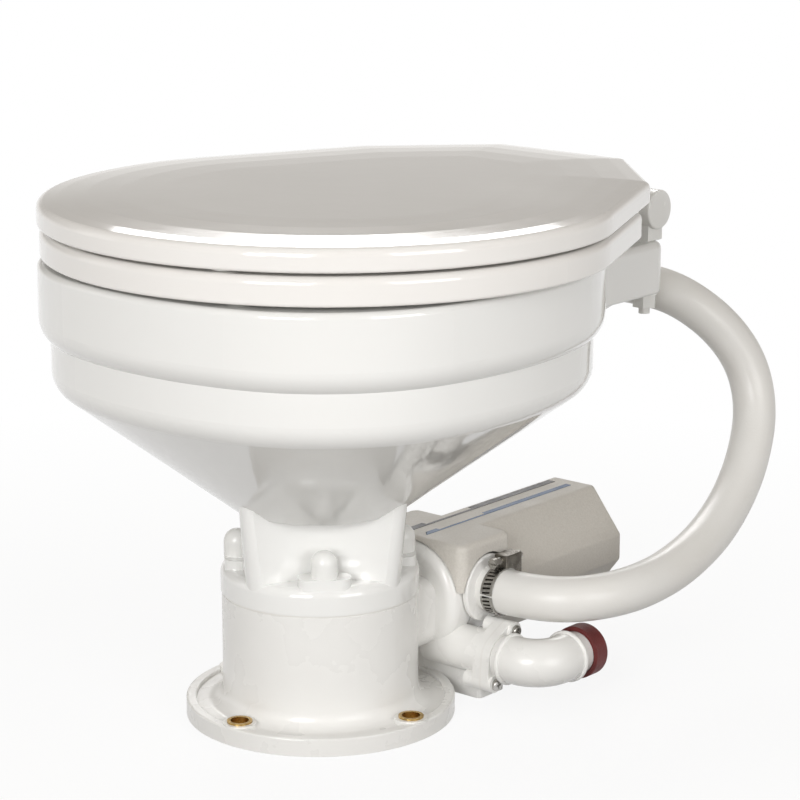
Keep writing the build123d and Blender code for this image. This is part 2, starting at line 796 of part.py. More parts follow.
def mirrored_spots(spots):
    found = []
    for spot in spots:
        found.append(spot)
        found.append((-spot[0], spot[1]))
    return found


SEAT_SCREW_SPOTS = leaf_screw_spots(SEAT_LUG_X0, LEAF_SCREW_Y)
LID_SCREW_SPOTS = leaf_screw_spots(LID_LUG_X0, LEAF_SCREW_Y)
SEAT_BUMPER_SPOTS = mirrored_spots(SEAT_BUMPERS)
LID_BUMPER_SPOTS = mirrored_spots(LID_BUMPERS)
LEAF_TOP_Z = LID_Z + LID_LEAF_T

with BuildPart() as seat_ring:
    extrude(seat_outline(level(SEAT_Z), SEAT_INSET, SEAT_WAIST_Y, SEAT_REAR_Y), amount=SEAT_H)
    with BuildSketch(level(SEAT_Z, SEAT_HOLE_Y)):
        Ellipse(SEAT_HOLE_HALF_X, SEAT_HOLE_HALF_Y)
    extrude(amount=SEAT_H, mode=Mode.SUBTRACT)
    fillet(seat_ring.edges().group_by(Axis.Z)[-1], SEAT_ROUND)
    fillet(seat_ring.edges().group_by(Axis.Z)[0], SEAT_BOTTOM_ROUND)
    with BuildSketch(level(SEAT_Z)):
        with Locations(SEAT_SCREW_SPOTS):
            Circle(LEAF_SCREW_R + RUN)
    extrude(amount=LEAF_SCREW_L, mode=Mode.SUBTRACT)
    with BuildSketch(level(SEAT_Z)):
        with Locations(SEAT_BUMPER_SPOTS):
            Circle(BUMPER_PEG_R + RUN)
    extrude(amount=BUMPER_PEG_L + SLIP, mode=Mode.SUBTRACT)

with BuildPart() as lid:
    extrude(seat_outline(level(LID_Z), 0, LID_WAIST_Y, REAR_Y), amount=LID_EDGE_H)
    loft([
        seat_outline(level(LID_Z + LID_EDGE_H + rise), inset, LID_WAIST_Y, REAR_Y)
        for inset, rise in LID_CROWN
    ], ruled=True)
    lid_edge = [
        edge for edge in lid.edges()
        if abs((edge @ 0).Z - LID_Z - LID_EDGE_H) < RUN and abs((edge @ 1).Z - LID_Z - LID_EDGE_H) < RUN
    ]
    fillet(lid_edge, LID_ROUND)
    fillet(lid.edges().group_by(Axis.Z)[0], LID_BOTTOM_ROUND)
    with BuildSketch(level(LID_Z)):
        for side in (1, -1):
            with Locations((side * (LID_LUG_X0 + LUG_T / 2), HINGE_Y - LID_LEAF_REACH / 2)):
                Rectangle(LUG_T + LEAF_FIT + LEAF_FIT, LID_LEAF_REACH + LEAF_FIT + LEAF_FIT)
    extrude(amount=LID_LEAF_T, mode=Mode.SUBTRACT)
    with BuildSketch(level(LID_Z + LID_LEAF_T)):
        with Locations(LID_SCREW_SPOTS):
            Circle(LEAF_SCREW_R + RUN)
    extrude(amount=LEAF_SCREW_L - LID_LEAF_T, mode=Mode.SUBTRACT)
    with BuildSketch(level(LID_Z)):
        with Locations(LID_BUMPER_SPOTS):
            Circle(BUMPER_PEG_R + RUN)
    extrude(amount=BUMPER_PEG_L + SLIP, mode=Mode.SUBTRACT)
print("seat and lid", round(seat_ring.part.volume), round(lid.part.volume))

SEAT_LEAF_Z = SEAT_Z - HINGE_Z
LEAF_Z = LID_Z - HINGE_Z
with BuildPart() as seat_lugs:
    seat_profile = lug_profile(
        side_plane(SEAT_LUG_X0, HINGE_Y, HINGE_Z),
        [
            (-SEAT_LEAF_REACH, SEAT_LEAF_Z - SEAT_LEAF_DROP), (-SEAT_LEAF_REACH, SEAT_LEAF_Z),
            (-BARREL_R / 2, SEAT_LEAF_Z), (-BARREL_R / 2, SEAT_LEAF_Z - SEAT_LEAF_DROP),
        ],
    )
    extrude(seat_profile, amount=LUG_T)
    mirror(about=Plane.YZ)
    with BuildSketch(level(SEAT_Z)):
        with Locations(SEAT_SCREW_SPOTS):
            Circle(LEAF_SCREW_R + RUN)
    extrude(amount=-SEAT_LEAF_DROP, mode=Mode.SUBTRACT)
    with BuildSketch(level(SEAT_Z - SEAT_LEAF_DROP)):
        with Locations(SEAT_SCREW_SPOTS):
            Circle(LEAF_SCREW_HEAD_R + RUN)
    extrude(amount=LEAF_SCREW_HEAD_H, mode=Mode.SUBTRACT)

with BuildPart() as lid_lugs:
    lid_profile = lug_profile(
        side_plane(LID_LUG_X0, HINGE_Y, HINGE_Z),
        [
            (-ARM_FRONT, 0), (-ARM_FRONT, LEAF_Z), (-LID_LEAF_REACH, LEAF_Z),
            (-LID_LEAF_REACH, LEAF_Z + LID_LEAF_T), (-ARM_BACK, LEAF_Z + LID_LEAF_T),
            (-ARM_BACK, BARREL_R), (-PIN_R, BARREL_R / 2), (-PIN_R, 0),
        ],
    )
    extrude(lid_profile, amount=LUG_T)
    mirror(about=Plane.YZ)
    with BuildSketch(level(LID_Z)):
        with Locations(LID_SCREW_SPOTS):
            Circle(LEAF_SCREW_R + RUN)
    extrude(amount=LID_LEAF_T, mode=Mode.SUBTRACT)
    with BuildSketch(level(LID_Z)):
        with Locations(LID_SCREW_SPOTS):
            Circle(LEAF_SCREW_HEAD_R + RUN)
    extrude(amount=LEAF_SCREW_HEAD_H, mode=Mode.SUBTRACT)


def slotted_screws(spots, base_z, shank, length, head_r, head_h, slot_w, slot_d):
    with BuildPart() as piece:
        with BuildSketch(level(base_z)):
            with Locations(spots):
                Circle(head_r)
        extrude(amount=head_h)
        with BuildSketch(level(base_z + head_h)):
            with Locations(spots):
                Circle(shank)
        extrude(amount=length - head_h)
        with BuildSketch(level(base_z)):
            with Locations(spots):
                Rectangle(head_r + head_r + CUT, slot_w)
        extrude(amount=slot_d, mode=Mode.SUBTRACT)
    return piece.part


seat_lug_screws = slotted_screws(SEAT_SCREW_SPOTS, SEAT_Z - SEAT_LEAF_DROP, LEAF_SCREW_R,
                                 LEAF_SCREW_L + SEAT_LEAF_DROP - CUT, LEAF_SCREW_HEAD_R,
                                 LEAF_SCREW_HEAD_H, SCREW_SLOT_W, SCREW_SLOT_D)
lid_lug_screws = slotted_screws(LID_SCREW_SPOTS, LID_Z, LEAF_SCREW_R, LEAF_SCREW_L - LID_SCREW_CUT,
                                LEAF_SCREW_HEAD_R, LEAF_SCREW_HEAD_H, SCREW_SLOT_W, SCREW_SLOT_D)


def bumpers(spots, seat_z, height):
    with BuildPart() as piece:
        with BuildSketch(level(seat_z)):
            with Locations(spots):
                Circle(BUMPER_R)
        extrude(amount=-height)
        fillet(piece.edges().group_by(Axis.Z)[0], height / 3)
        with BuildSketch(level(seat_z)):
            with Locations(spots):
                Circle(BUMPER_PEG_R)
        extrude(amount=BUMPER_PEG_L)
    return piece.part


seat_bumpers = bumpers(SEAT_BUMPER_SPOTS, SEAT_Z, BUMPER_SEAT_H)
lid_bumpers = bumpers(LID_BUMPER_SPOTS, LID_Z, BUMPER_LID_H)

# Hinge posts stand on the deck and carry one long pin
with BuildPart() as hinge_posts:
    with BuildSketch(level(DECK_TOP_Z)):
        with Locations((POST_X0 + POST_W / 2, HINGE_Y)):
            Rectangle(POST_W, POST_D)
    extrude(amount=HINGE_Z - DECK_TOP_Z)
    with BuildSketch(side_plane(POST_X0, HINGE_Y, HINGE_Z)):
        Circle(POST_HEAD_R)
    extrude(amount=POST_W)
    fillet(hinge_posts.edges().group_by(Axis.Z)[0].filter_by(Axis.Y), HINGE_CAP_ROUND)
    with BuildSketch(side_plane(POST_X0, HINGE_Y, HINGE_Z)):
        Circle(PIN_R + RUN)
    extrude(amount=POST_W, mode=Mode.SUBTRACT)
    with BuildSketch(level(DECK_TOP_Z)):
        with Locations((POST_X0 + POST_W / 2, HINGE_Y)):
            Circle(HINGE_BOLT_R + RUN)
    extrude(amount=HINGE_BOLT_Z1 - DECK_TOP_Z, mode=Mode.SUBTRACT)
    mirror(about=Plane.YZ)

with BuildPart() as hinge_caps:
    with BuildSketch(side_plane(POST_X0 + POST_W, HINGE_Y, HINGE_Z)):
        Circle(POST_HEAD_R)
    extrude(amount=HINGE_CAP_T)
    fillet(hinge_caps.edges().group_by(Axis.X)[-1], HINGE_CAP_ROUND)
    mirror(about=Plane.YZ)

hinge_pin = disc_x(-PIN_HALF, HINGE_Y, HINGE_Z, PIN_HALF + PIN_HALF, PIN_R)
HINGE_BOLT_SPOTS = mirrored_spots([(POST_X0 + POST_W / 2, HINGE_Y)])

with BuildPart() as hinge_bolts:
    with BuildSketch(level(HINGE_BOLT_Z0)):
        with Locations(HINGE_BOLT_SPOTS):
            Circle(HINGE_BOLT_R)
    extrude(amount=HINGE_BOLT_Z1 - HINGE_BOLT_Z0)

with BuildPart() as hinge_washers:
    with BuildSketch(level(DECK_Z - HINGE_WASHER_T)):
        with Locations(HINGE_BOLT_SPOTS):
            Circle(HINGE_WASHER_R)
            Circle(HINGE_BOLT_R + SLIP, mode=Mode.SUBTRACT)
    extrude(amount=HINGE_WASHER_T)

with BuildPart() as hinge_nuts:
    with BuildSketch(level(DECK_Z - HINGE_WASHER_T - HINGE_NUT_H)):
        with Locations(HINGE_BOLT_SPOTS):
            RegularPolygon(HINGE_NUT_R, side_count=HEX)
            Circle(HINGE_BOLT_R + RUN, mode=Mode.SUBTRACT)
    extrude(amount=HINGE_NUT_H)

# Stud hardware under the bowl
with BuildPart() as bowl_studs:
    with BuildSketch(level(DRUM_TOP_Z - STUD_DEPTH)):
        with Locations(STUD_SPOTS):
            Circle(STUD_R)
    extrude(amount=STUD_TOP_Z - DRUM_TOP_Z + STUD_DEPTH)

with BuildPart() as nut_washers:
    with BuildSketch(level(PAD_TOP_Z)):
        with Locations(STUD_SPOTS):
            Circle(WASHER_R)
            Circle(STUD_R + SLIP, mode=Mode.SUBTRACT)
    extrude(amount=WASHER_T)

with BuildPart() as stud_nuts:
    with BuildSketch(level(PAD_TOP_Z + WASHER_T)):
        with Locations(STUD_SPOTS):
            RegularPolygon(NUT_R, side_count=HEX)
            Circle(STUD_R + RUN, mode=Mode.SUBTRACT)
    extrude(amount=NUT_H)

with BuildPart() as one_nut_cap:
    with BuildSketch(Plane.XZ) as cap_section:
        with BuildLine():
            foot = Line((NUT_CAP_BORE_R, 0), (NUT_CAP_R, 0))
            outer = Line(foot @ 1, (NUT_CAP_R, NUT_CAP_H))
            dome = JernArc(outer @ 1, (0, 1), NUT_CAP_R, QUARTER)
            crown = Line(dome @ 1, (0, NUT_CAP_H + NUT_CAP_BORE_R))
            inside = JernArc((NUT_CAP_BORE_R, NUT_CAP_H), (0, 1), NUT_CAP_BORE_R, QUARTER)
            Line((NUT_CAP_BORE_R, NUT_CAP_H), foot @ 0)
        make_face()
    revolve(axis=Axis.Z)

with BuildPart() as nut_caps:
    with Locations([(spot[0], spot[1], PAD_TOP_Z) for spot in STUD_SPOTS]):
        add(one_nut_cap.part)
print("hardware", len(nut_caps.part.solids()), len(hinge_nuts.part.solids()))

# Pump stack behind the volute: plate, intake body and end plate on one axis
with BuildPart() as pump_plate:
    with BuildSketch(pump_plane(PLATE_Y)):
        Circle(STACK_R)
        Circle(SEAL_R + RUN, mode=Mode.SUBTRACT)
        with Locations(pump_spots(PUMP_SCREW_PCD_R, DIAGONAL)):
            Circle(PUMP_SCREW_R + SLIP, mode=Mode.SUBTRACT)
    extrude(amount=PLATE_T)

with BuildPart() as intake_pump_body:
    with BuildSketch(pump_plane(INTAKE_Y)):
        Circle(STACK_R)
    extrude(amount=INTAKE_L)
    with BuildSketch(side_plane(PUMP_X, INTAKE_Y + INTAKE_L / 2, PORT_Z)):
        Rectangle(INTAKE_L, PORT_NECK_HALF + PORT_NECK_HALF)
    extrude(amount=PORT_NECK_X - PUMP_X)
    add(disc_x(PORT_NECK_X, PORT_Y, PORT_Z, COLLAR_X - PORT_NECK_X, COLLAR_R))
    collar_edges = [
        edge for edge in intake_pump_body.edges().filter_by(GeomType.CIRCLE)
        if abs(edge.radius - COLLAR_R) < RUN
    ]
    fillet(collar_edges, COLLAR_ROUND)
    add(disc_x(COLLAR_X, PORT_Y, PORT_Z, SPIGOT_L, SPIGOT_R))
    add(disc_x(INLET_PIN_X, INTAKE_Y + INTAKE_L / 2, PORT_Z, PUMP_X - INLET_PIN_X, INLET_PIN_R))
    add(disc_y(INTAKE_Y, INTAKE_L, INTAKE_BORE_R), mode=Mode.SUBTRACT)
    add(disc_x(PUMP_X, PORT_Y, PORT_Z, PORT_NECK_X - PUMP_X + CUT, PORT_BORE_R), mode=Mode.SUBTRACT)
    add(disc_x(PORT_NECK_X, PORT_Y, PORT_Z, COLLAR_X + SPIGOT_L, SPIGOT_BORE_R), mode=Mode.SUBTRACT)
    add(disc_x(INLET_PIN_X - CUT, INTAKE_Y + INTAKE_L / 2, PORT_Z, PUMP_X - INLET_PIN_X, INLET_PIN_BORE_R),
        mode=Mode.SUBTRACT)
    with BuildSketch(pump_plane(INTAKE_Y)):
        with Locations(pump_spots(PUMP_SCREW_PCD_R, DIAGONAL)):
            Circle(PUMP_SCREW_R + SLIP)
    extrude(amount=INTAKE_L, mode=Mode.SUBTRACT)
    add(disc_y(INTAKE_Y, SEAL_GROOVE_D, SEAL_GROOVE_R1, SEAL_GROOVE_R0), mode=Mode.SUBTRACT)
    add(disc_y(END_PLATE_Y - SEAL_GROOVE_D, SEAL_GROOVE_D, SEAL_GROOVE_R1, SEAL_GROOVE_R0),
        mode=Mode.SUBTRACT)

with BuildPart() as housing_seals:
    add(disc_y(INTAKE_Y, SEAL_GROOVE_D, SEAL_GROOVE_R1 - RUN, SEAL_GROOVE_R0 + RUN))
    add(disc_y(END_PLATE_Y - SEAL_GROOVE_D, SEAL_GROOVE_D, SEAL_GROOVE_R1 - RUN, SEAL_GROOVE_R0 + RUN))

with BuildPart() as pump_end_plate:
    with BuildSketch(pump_plane(END_PLATE_Y)):
        Circle(STACK_R)
        Circle(SHAFT_R + SLIP, mode=Mode.SUBTRACT)
        with Locations(pump_spots(PUMP_SCREW_PCD_R, DIAGONAL)):
            Circle(PUMP_SCREW_R + SLIP, mode=Mode.SUBTRACT)
    extrude(amount=END_PLATE_T)
    with BuildSketch(pump_plane(MOTOR_Y)):
        with Locations(pump_spots(PUMP_SCREW_PCD_R, DIAGONAL)):
            Circle(PUMP_SCREW_HEAD_R + RUN)
    extrude(amount=-PUMP_SCREW_HEAD_H, mode=Mode.SUBTRACT)
    add(disc_y(END_PLATE_Y, SEAL_T, SEAL_R + RUN), mode=Mode.SUBTRACT)
    with BuildSketch(pump_plane(MOTOR_Y)):
        with Locations((0, TIE_PCD_R), (0, -TIE_PCD_R)):
            Circle(TIE_R + RUN)
    extrude(amount=-TIE_DEPTH, mode=Mode.SUBTRACT)

with BuildPart() as shaft_seals:
    add(disc_y(PLATE_Y + PLATE_T / 2 - SEAL_T / 2, SEAL_T, SEAL_R, SHAFT_R + RUN))
    add(disc_y(END_PLATE_Y, SEAL_T, SEAL_R, SHAFT_R + RUN))

with BuildPart() as pump_screws:
    with BuildSketch(pump_plane(MOTOR_Y)):
        with Locations(pump_spots(PUMP_SCREW_PCD_R, DIAGONAL)):
            Circle(PUMP_SCREW_HEAD_R)
    extrude(amount=-PUMP_SCREW_HEAD_H)
    with BuildSketch(pump_plane(MOTOR_Y - PUMP_SCREW_HEAD_H)):
        with Locations(pump_spots(PUMP_SCREW_PCD_R, DIAGONAL)):
            Circle(PUMP_SCREW_R)
    extrude(amount=PLATE_Y - PUMP_SCREW_DEPTH + CUT - MOTOR_Y + PUMP_SCREW_HEAD_H)
    with BuildSketch(pump_plane(MOTOR_Y)):
        with Locations(pump_spots(PUMP_SCREW_PCD_R, DIAGONAL)):
            Rectangle(SCREW_SLOT_W, PUMP_SCREW_HEAD_R + PUMP_SCREW_HEAD_R + CUT)
    extrude(amount=-SCREW_SLOT_D, mode=Mode.SUBTRACT)

# Motor: front bell, can with magnets, end cap with brush gear, two through bolts
TIE_SPOTS = [(0, TIE_PCD_R), (0, -TIE_PCD_R)]
CAN_Y = MOTOR_Y + BELL_T
END_CAP_Y = CAN_Y + CAN_L

with BuildPart() as motor_front_bell:
    with BuildSketch(pump_plane(MOTOR_Y)):
        Circle(CAN_R)
        Circle(SHAFT_R + SLIP, mode=Mode.SUBTRACT)
        with Locations(TIE_SPOTS):
            Circle(TIE_R + SLIP, mode=Mode.SUBTRACT)
    extrude(amount=BELL_T)
    add(disc_y(CAN_Y - BEARING_T, BEARING_T, BEARING_R + RUN), mode=Mode.SUBTRACT)

with BuildPart() as motor_can:
    with BuildSketch(pump_plane(CAN_Y)):
        Circle(CAN_R)
        Circle(CAN_R - CAN_WALL, mode=Mode.SUBTRACT)
    extrude(amount=CAN_L)

with BuildPart() as motor_end_cap:
    with BuildSketch(pump_plane(END_CAP_Y)):
        Circle(CAN_R)
        with Locations(TIE_SPOTS):
            Circle(TIE_R + SLIP, mode=Mode.SUBTRACT)
    extrude(amount=CAP_T)
    fillet(motor_end_cap.edges().group_by(Axis.Y)[-1].sort_by(SortBy.RADIUS)[-1], COLLAR_ROUND)
    add(disc_y(END_CAP_Y, BEARING_T, BEARING_R + RUN), mode=Mode.SUBTRACT)
    with BuildSketch(pump_plane(END_CAP_Y + CAP_T)):
        with Locations((COVER_SCREW_PCD_R, 0), (-COVER_SCREW_PCD_R, 0)):
            Circle(COVER_SCREW_R + RUN)
    extrude(amount=-COVER_SCREW_DEPTH, mode=Mode.SUBTRACT)

front_bearing = disc_y(CAN_Y - BEARING_T, BEARING_T, BEARING_R, SHAFT_R + RUN)
rear_bearing = disc_y(END_CAP_Y, BEARING_T, BEARING_R, SHAFT_R + RUN)

with BuildPart() as field_magnets:
    with BuildSketch(pump_plane(MAGNET_Y)):
        Circle(CAN_R - CAN_WALL - RUN)
        Circle(MAGNET_R, mode=Mode.SUBTRACT)
        gap_w = CAN_R * math.tan(math.radians(MAGNET_GAP_ANGLE))
        Polygon((0, 0), (gap_w, CAN_R), (-gap_w, CAN_R), align=None, mode=Mode.SUBTRACT)
        Polygon((0, 0), (-gap_w, -CAN_R), (gap_w, -CAN_R), align=None, mode=Mode.SUBTRACT)
    extrude(amount=MAGNET_L)

with BuildPart() as brush_holder:
    with BuildSketch(pump_plane(HOLDER_Y)):
        Circle(HOLDER_R)
        Circle(HOLDER_BORE_R, mode=Mode.SUBTRACT)
        with Locations(TIE_SPOTS):
            Circle(TIE_R + SLIP, mode=Mode.SUBTRACT)
    extrude(amount=HOLDER_T)
    with BuildSketch(pump_plane(HOLDER_Y)):
        with Locations((HOLDER_BORE_R + BRUSH_L / 2 + CUT, 0), (-HOLDER_BORE_R - BRUSH_L / 2 - CUT, 0)):
            Rectangle(BRUSH_L, BRUSH_W + BRUSH_WALL + BRUSH_WALL)
    extrude(amount=-BRUSH_W - BRUSH_WALL)
    with BuildSketch(pump_plane(HOLDER_Y)):
        with Locations((HOLDER_BORE_R + BRUSH_L / 2 + CUT, 0), (-HOLDER_BORE_R - BRUSH_L / 2 - CUT, 0)):
            Rectangle(BRUSH_L + CUT, BRUSH_W + RUN + RUN)
    extrude(amount=-BRUSH_W - RUN, mode=Mode.SUBTRACT)

with BuildPart() as brushes:
    with BuildSketch(pump_plane(HOLDER_Y - RUN)):
        with Locations((COMMUTATOR_R + SLIP + BRUSH_L / 2, 0), (-COMMUTATOR_R - SLIP - BRUSH_L / 2, 0)):
            Rectangle(BRUSH_L, BRUSH_W)
    extrude(amount=-BRUSH_W + RUN)

with BuildPart() as through_bolts:
    with BuildSketch(pump_plane(MOTOR_Y - TIE_DEPTH)):
        with Locations(TIE_SPOTS):
            Circle(TIE_R)
    extrude(amount=END_CAP_Y + CAP_T - MOTOR_Y + TIE_DEPTH)
    with BuildSketch(pump_plane(END_CAP_Y + CAP_T)):
        with Locations(TIE_SPOTS):
            RegularPolygon(TIE_HEAD_R, side_count=HEX)
    extrude(amount=TIE_HEAD_H)

# Rotor: everything that turns with the motor shaft
motor_shaft = disc_y(SHAFT_Y0, END_CAP_Y + BEARING_T - SLIP - SHAFT_Y0, SHAFT_R)

with BuildPart() as armature:
    with BuildSketch(pump_plane(CORE_Y)):
        Circle(CORE_R)
        Circle(SHAFT_R + RUN, mode=Mode.SUBTRACT)
        with PolarLocations(CORE_R - SLOT_D / 2 + CUT / 2, CORE_SLOTS):
            Rectangle(SLOT_D + CUT, SLOT_W, mode=Mode.SUBTRACT)
    extrude(amount=CORE_L)

with BuildPart() as windings:
    with BuildSketch(pump_plane(CORE_Y - WINDING_L)):
        with PolarLocations(CORE_R - SLOT_D / 2, CORE_SLOTS):
            Rectangle(SLOT_D - SLIP - SLIP, WIRE_W)
    extrude(amount=CORE_L + WINDING_L + WINDING_L)
    add(disc_y(CORE_Y - WINDING_L, WINDING_L - SLIP, WINDING_R, SHAFT_R + CUT))
    add(disc_y(CORE_Y + CORE_L + SLIP, WINDING_L - SLIP, WINDING_R, SHAFT_R + CUT))

with BuildPart() as commutator:
    with BuildSketch(pump_plane(COMMUTATOR_Y)):
        Circle(COMMUTATOR_R)
        Circle(SHAFT_R + RUN, mode=Mode.SUBTRACT)
        with PolarLocations(COMMUTATOR_R - GROOVE_D / 2 + CUT / 2, CORE_SLOTS):
            Rectangle(GROOVE_D + CUT, GROOVE_W, mode=Mode.SUBTRACT)
    extrude(amount=COMMUTATOR_L)

with BuildPart() as macerator_blade:
    add(disc_y(BLADE_Y, BLADE_HUB_L, BLADE_HUB_R))
    with BuildSketch(pump_plane(BLADE_Y)):
        Rectangle(BLADE_L, BLADE_W)
    extrude(amount=BLADE_T)
    with BuildSketch(pump_plane(BLADE_Y)):
        with Locations((BLADE_L / 2 - BLADE_T / 2, 0), (-BLADE_L / 2 + BLADE_T / 2, 0)):
            Rectangle(BLADE_T, BLADE_W)
    extrude(amount=-BLADE_TIP_H)
    add(disc_y(BLADE_Y - BLADE_TIP_H, BLADE_HUB_L + BLADE_TIP_H + CUT, SHAFT_R + RUN), mode=Mode.SUBTRACT)

with BuildPart() as blade_nut:
    with BuildSketch(pump_plane(BLADE_Y - BLADE_NUT_L)):
        RegularPolygon(BLADE_HUB_R, side_count=HEX)
        Circle(SHAFT_R + RUN, mode=Mode.SUBTRACT)
    extrude(amount=BLADE_NUT_L)

with BuildPart() as discharge_impeller:
    with BuildSketch(pump_plane(IMPELLER_Y)):
        Circle(IMPELLER_HUB_R)
        with PolarLocations((IMPELLER_R + IMPELLER_HUB_R) / 2, IMPELLER_VANES):
            Rectangle(IMPELLER_R - IMPELLER_HUB_R + CUT, VANE_T)
    extrude(amount=IMPELLER_L)
    add(disc_y(IMPELLER_Y + IMPELLER_L - IMPELLER_DISC_T, IMPELLER_DISC_T, IMPELLER_R))
    add(disc_y(IMPELLER_Y, IMPELLER_L, SHAFT_R + RUN), mode=Mode.SUBTRACT)

with BuildPart() as intake_impeller:
    with BuildSketch(pump_plane(INTAKE_Y + SEAL_T / 2 + FLEX_MARGIN)):
        Circle(FLEX_HUB_R)
        with PolarLocations(FLEX_R / 2, FLEX_VANES):
            Rectangle(FLEX_R - FLEX_TIP_R, VANE_T)
        with PolarLocations(FLEX_R - FLEX_TIP_R, FLEX_VANES):
            Circle(FLEX_TIP_R)
        Circle(SHAFT_R + RUN, mode=Mode.SUBTRACT)
    extrude(amount=INTAKE_L - SEAL_T / 2 - FLEX_MARGIN - FLEX_MARGIN)
print("motor and pump", len(field_magnets.part.solids()), len(windings.part.solids()))

# Discharge elbow, its gasket, screws, valve and transport cap
EAR_SPOTS = [(EAR_DY, EAR_DZ), (-EAR_DY, -EAR_DZ)]
ELBOW_X = FLANGE_X + ELBOW_GASKET_T
ELBOW_END_X = ELBOW_X + ELBOW_RUN + ELBOW_BEND_R
TUBE_X = ELBOW_X + ELBOW_FLANGE_T + ELBOW_BEAD_GAP + BEAD_RING_ROUND


def bead_disc(plane):
    with BuildPart() as piece:
        with BuildSketch(plane):
            Circle(BEAD_RING_R)
            Circle(ELBOW_BORE_R + CUT, mode=Mode.SUBTRACT)
        extrude(amount=BEAD_RING_W)
        round_edges = piece.edges().filter_by(GeomType.CIRCLE)
        rings = [edge for edge in round_edges if abs(edge.radius - BEAD_RING_R) < RUN]
        fillet(rings, BEAD_RING_ROUND)
    return piece.part


def ear_plate(x, thickness, bore_r, hole_r):
    with BuildPart() as piece:
        with BuildSketch(side_plane(x, NECK_Y, NECK_Z)):
            Circle(NECK_R)
            with Locations(EAR_SPOTS):
                Circle(EAR_R)
            make_hull()
            Circle(bore_r, mode=Mode.SUBTRACT)
            with Locations(EAR_SPOTS):
                Circle(hole_r, mode=Mode.SUBTRACT)
        extrude(amount=thickness)
    return piece.part


elbow_gasket = ear_plate(FLANGE_X, ELBOW_GASKET_T, ELBOW_BORE_R, ELBOW_SCREW_R + SLIP)

with BuildPart() as discharge_elbow:
    add(ear_plate(ELBOW_X, ELBOW_FLANGE_T, ELBOW_BORE_R, ELBOW_SCREW_R + SLIP))
    add(disc_x(ELBOW_X, NECK_Y, NECK_Z, TUBE_X - ELBOW_X + CUT, ELBOW_R, ELBOW_BORE_R))
    with BuildLine() as elbow_path:
        first = Line((TUBE_X, NECK_Y, NECK_Z), (ELBOW_X + ELBOW_RUN, NECK_Y, NECK_Z))
        bend_end = (ELBOW_X + ELBOW_RUN + ELBOW_BEND_R, NECK_Y + ELBOW_BEND_R, NECK_Z)
        TangentArc(first @ 1, bend_end, tangent=(1, 0, 0))
        Line(bend_end, (ELBOW_X + ELBOW_RUN + ELBOW_BEND_R, ELBOW_BEAD_Y + BEAD_RING_ROUND, NECK_Z))
    with BuildSketch(side_plane(TUBE_X, NECK_Y, NECK_Z)):
        Circle(ELBOW_BODY_R)
        Circle(ELBOW_BORE_R, mode=Mode.SUBTRACT)
    sweep(path=elbow_path.wire())
    add(disc_y(ELBOW_BEAD_Y, ELBOW_END_Y - ELBOW_BEAD_Y, ELBOW_R, ELBOW_BORE_R, ELBOW_END_X, NECK_Z))
    with BuildSketch(side_plane(ELBOW_X, NECK_Y, NECK_Z)):
        with Locations(EAR_SPOTS):
            Circle(EAR_R)
            Circle(ELBOW_SCREW_R + SLIP, mode=Mode.SUBTRACT)
    extrude(amount=ELBOW_FLANGE_T + EAR_BOSS_PROUD)
    add(bead_disc(side_plane(ELBOW_X + ELBOW_FLANGE_T + ELBOW_BEAD_GAP, NECK_Y, NECK_Z)))
    add(bead_disc(back_plane(ELBOW_END_X, ELBOW_BEAD_Y, NECK_Z)))
print("elbow", round(discharge_elbow.part.volume), len(discharge_elbow.part.solids()))

EAR_FACE_X = ELBOW_X + ELBOW_FLANGE_T + EAR_BOSS_PROUD
with BuildPart() as elbow_screws:
    with BuildSketch(side_plane(EAR_FACE_X, NECK_Y, NECK_Z)):
        with Locations(EAR_SPOTS):
            Circle(ELBOW_SCREW_HEAD_R)
    extrude(amount=ELBOW_SCREW_HEAD_H)
    fillet(elbow_screws.edges().group_by(Axis.X)[-1], BEAD_RING_ROUND)
    with BuildSketch(side_plane(EAR_FACE_X + ELBOW_SCREW_HEAD_H, NECK_Y, NECK_Z)):
        with Locations(EAR_SPOTS):
            Rectangle(CROSS_L, SCREW_SLOT_W)
            Rectangle(SCREW_SLOT_W, CROSS_L)
    extrude(amount=-SCREW_SLOT_D, mode=Mode.SUBTRACT)
    with BuildSketch(side_plane(EAR_FACE_X, NECK_Y, NECK_Z)):
        with Locations(EAR_SPOTS):
            Circle(ELBOW_SCREW_R)
    extrude(amount=-ELBOW_FLANGE_T - EAR_BOSS_PROUD - ELBOW_GASKET_T - ELBOW_SCREW_DEPTH + CUT)

# The duck-bill valve sits in the elbow and closes towards the outlet
with BuildPart() as joker_valve:
    with BuildSketch(side_plane(ELBOW_X, NECK_Y, NECK_Z)):
        Circle(VALVE_FLANGE_R)
    extrude(amount=VALVE_FLANGE_T)
    with BuildSketch(side_plane(ELBOW_X + VALVE_FLANGE_T, NECK_Y, NECK_Z)):
        Ellipse(VALVE_R, VALVE_R - VALVE_WALL / 2)
    with BuildSketch(side_plane(ELBOW_X + VALVE_L, NECK_Y, NECK_Z)):
        Ellipse(VALVE_R - VALVE_WALL, VALVE_LIP_H)
    loft()
    with BuildSketch(side_plane(ELBOW_X - RUN, NECK_Y, NECK_Z)):
        Ellipse(VALVE_R - VALVE_WALL, VALVE_R - VALVE_WALL - VALVE_WALL / 2)
    with BuildSketch(side_plane(ELBOW_X + VALVE_L + RUN, NECK_Y, NECK_Z)):
        Ellipse(VALVE_R - VALVE_WALL - VALVE_WALL, VALVE_LIP_H - VALVE_WALL)
    loft(mode=Mode.SUBTRACT)

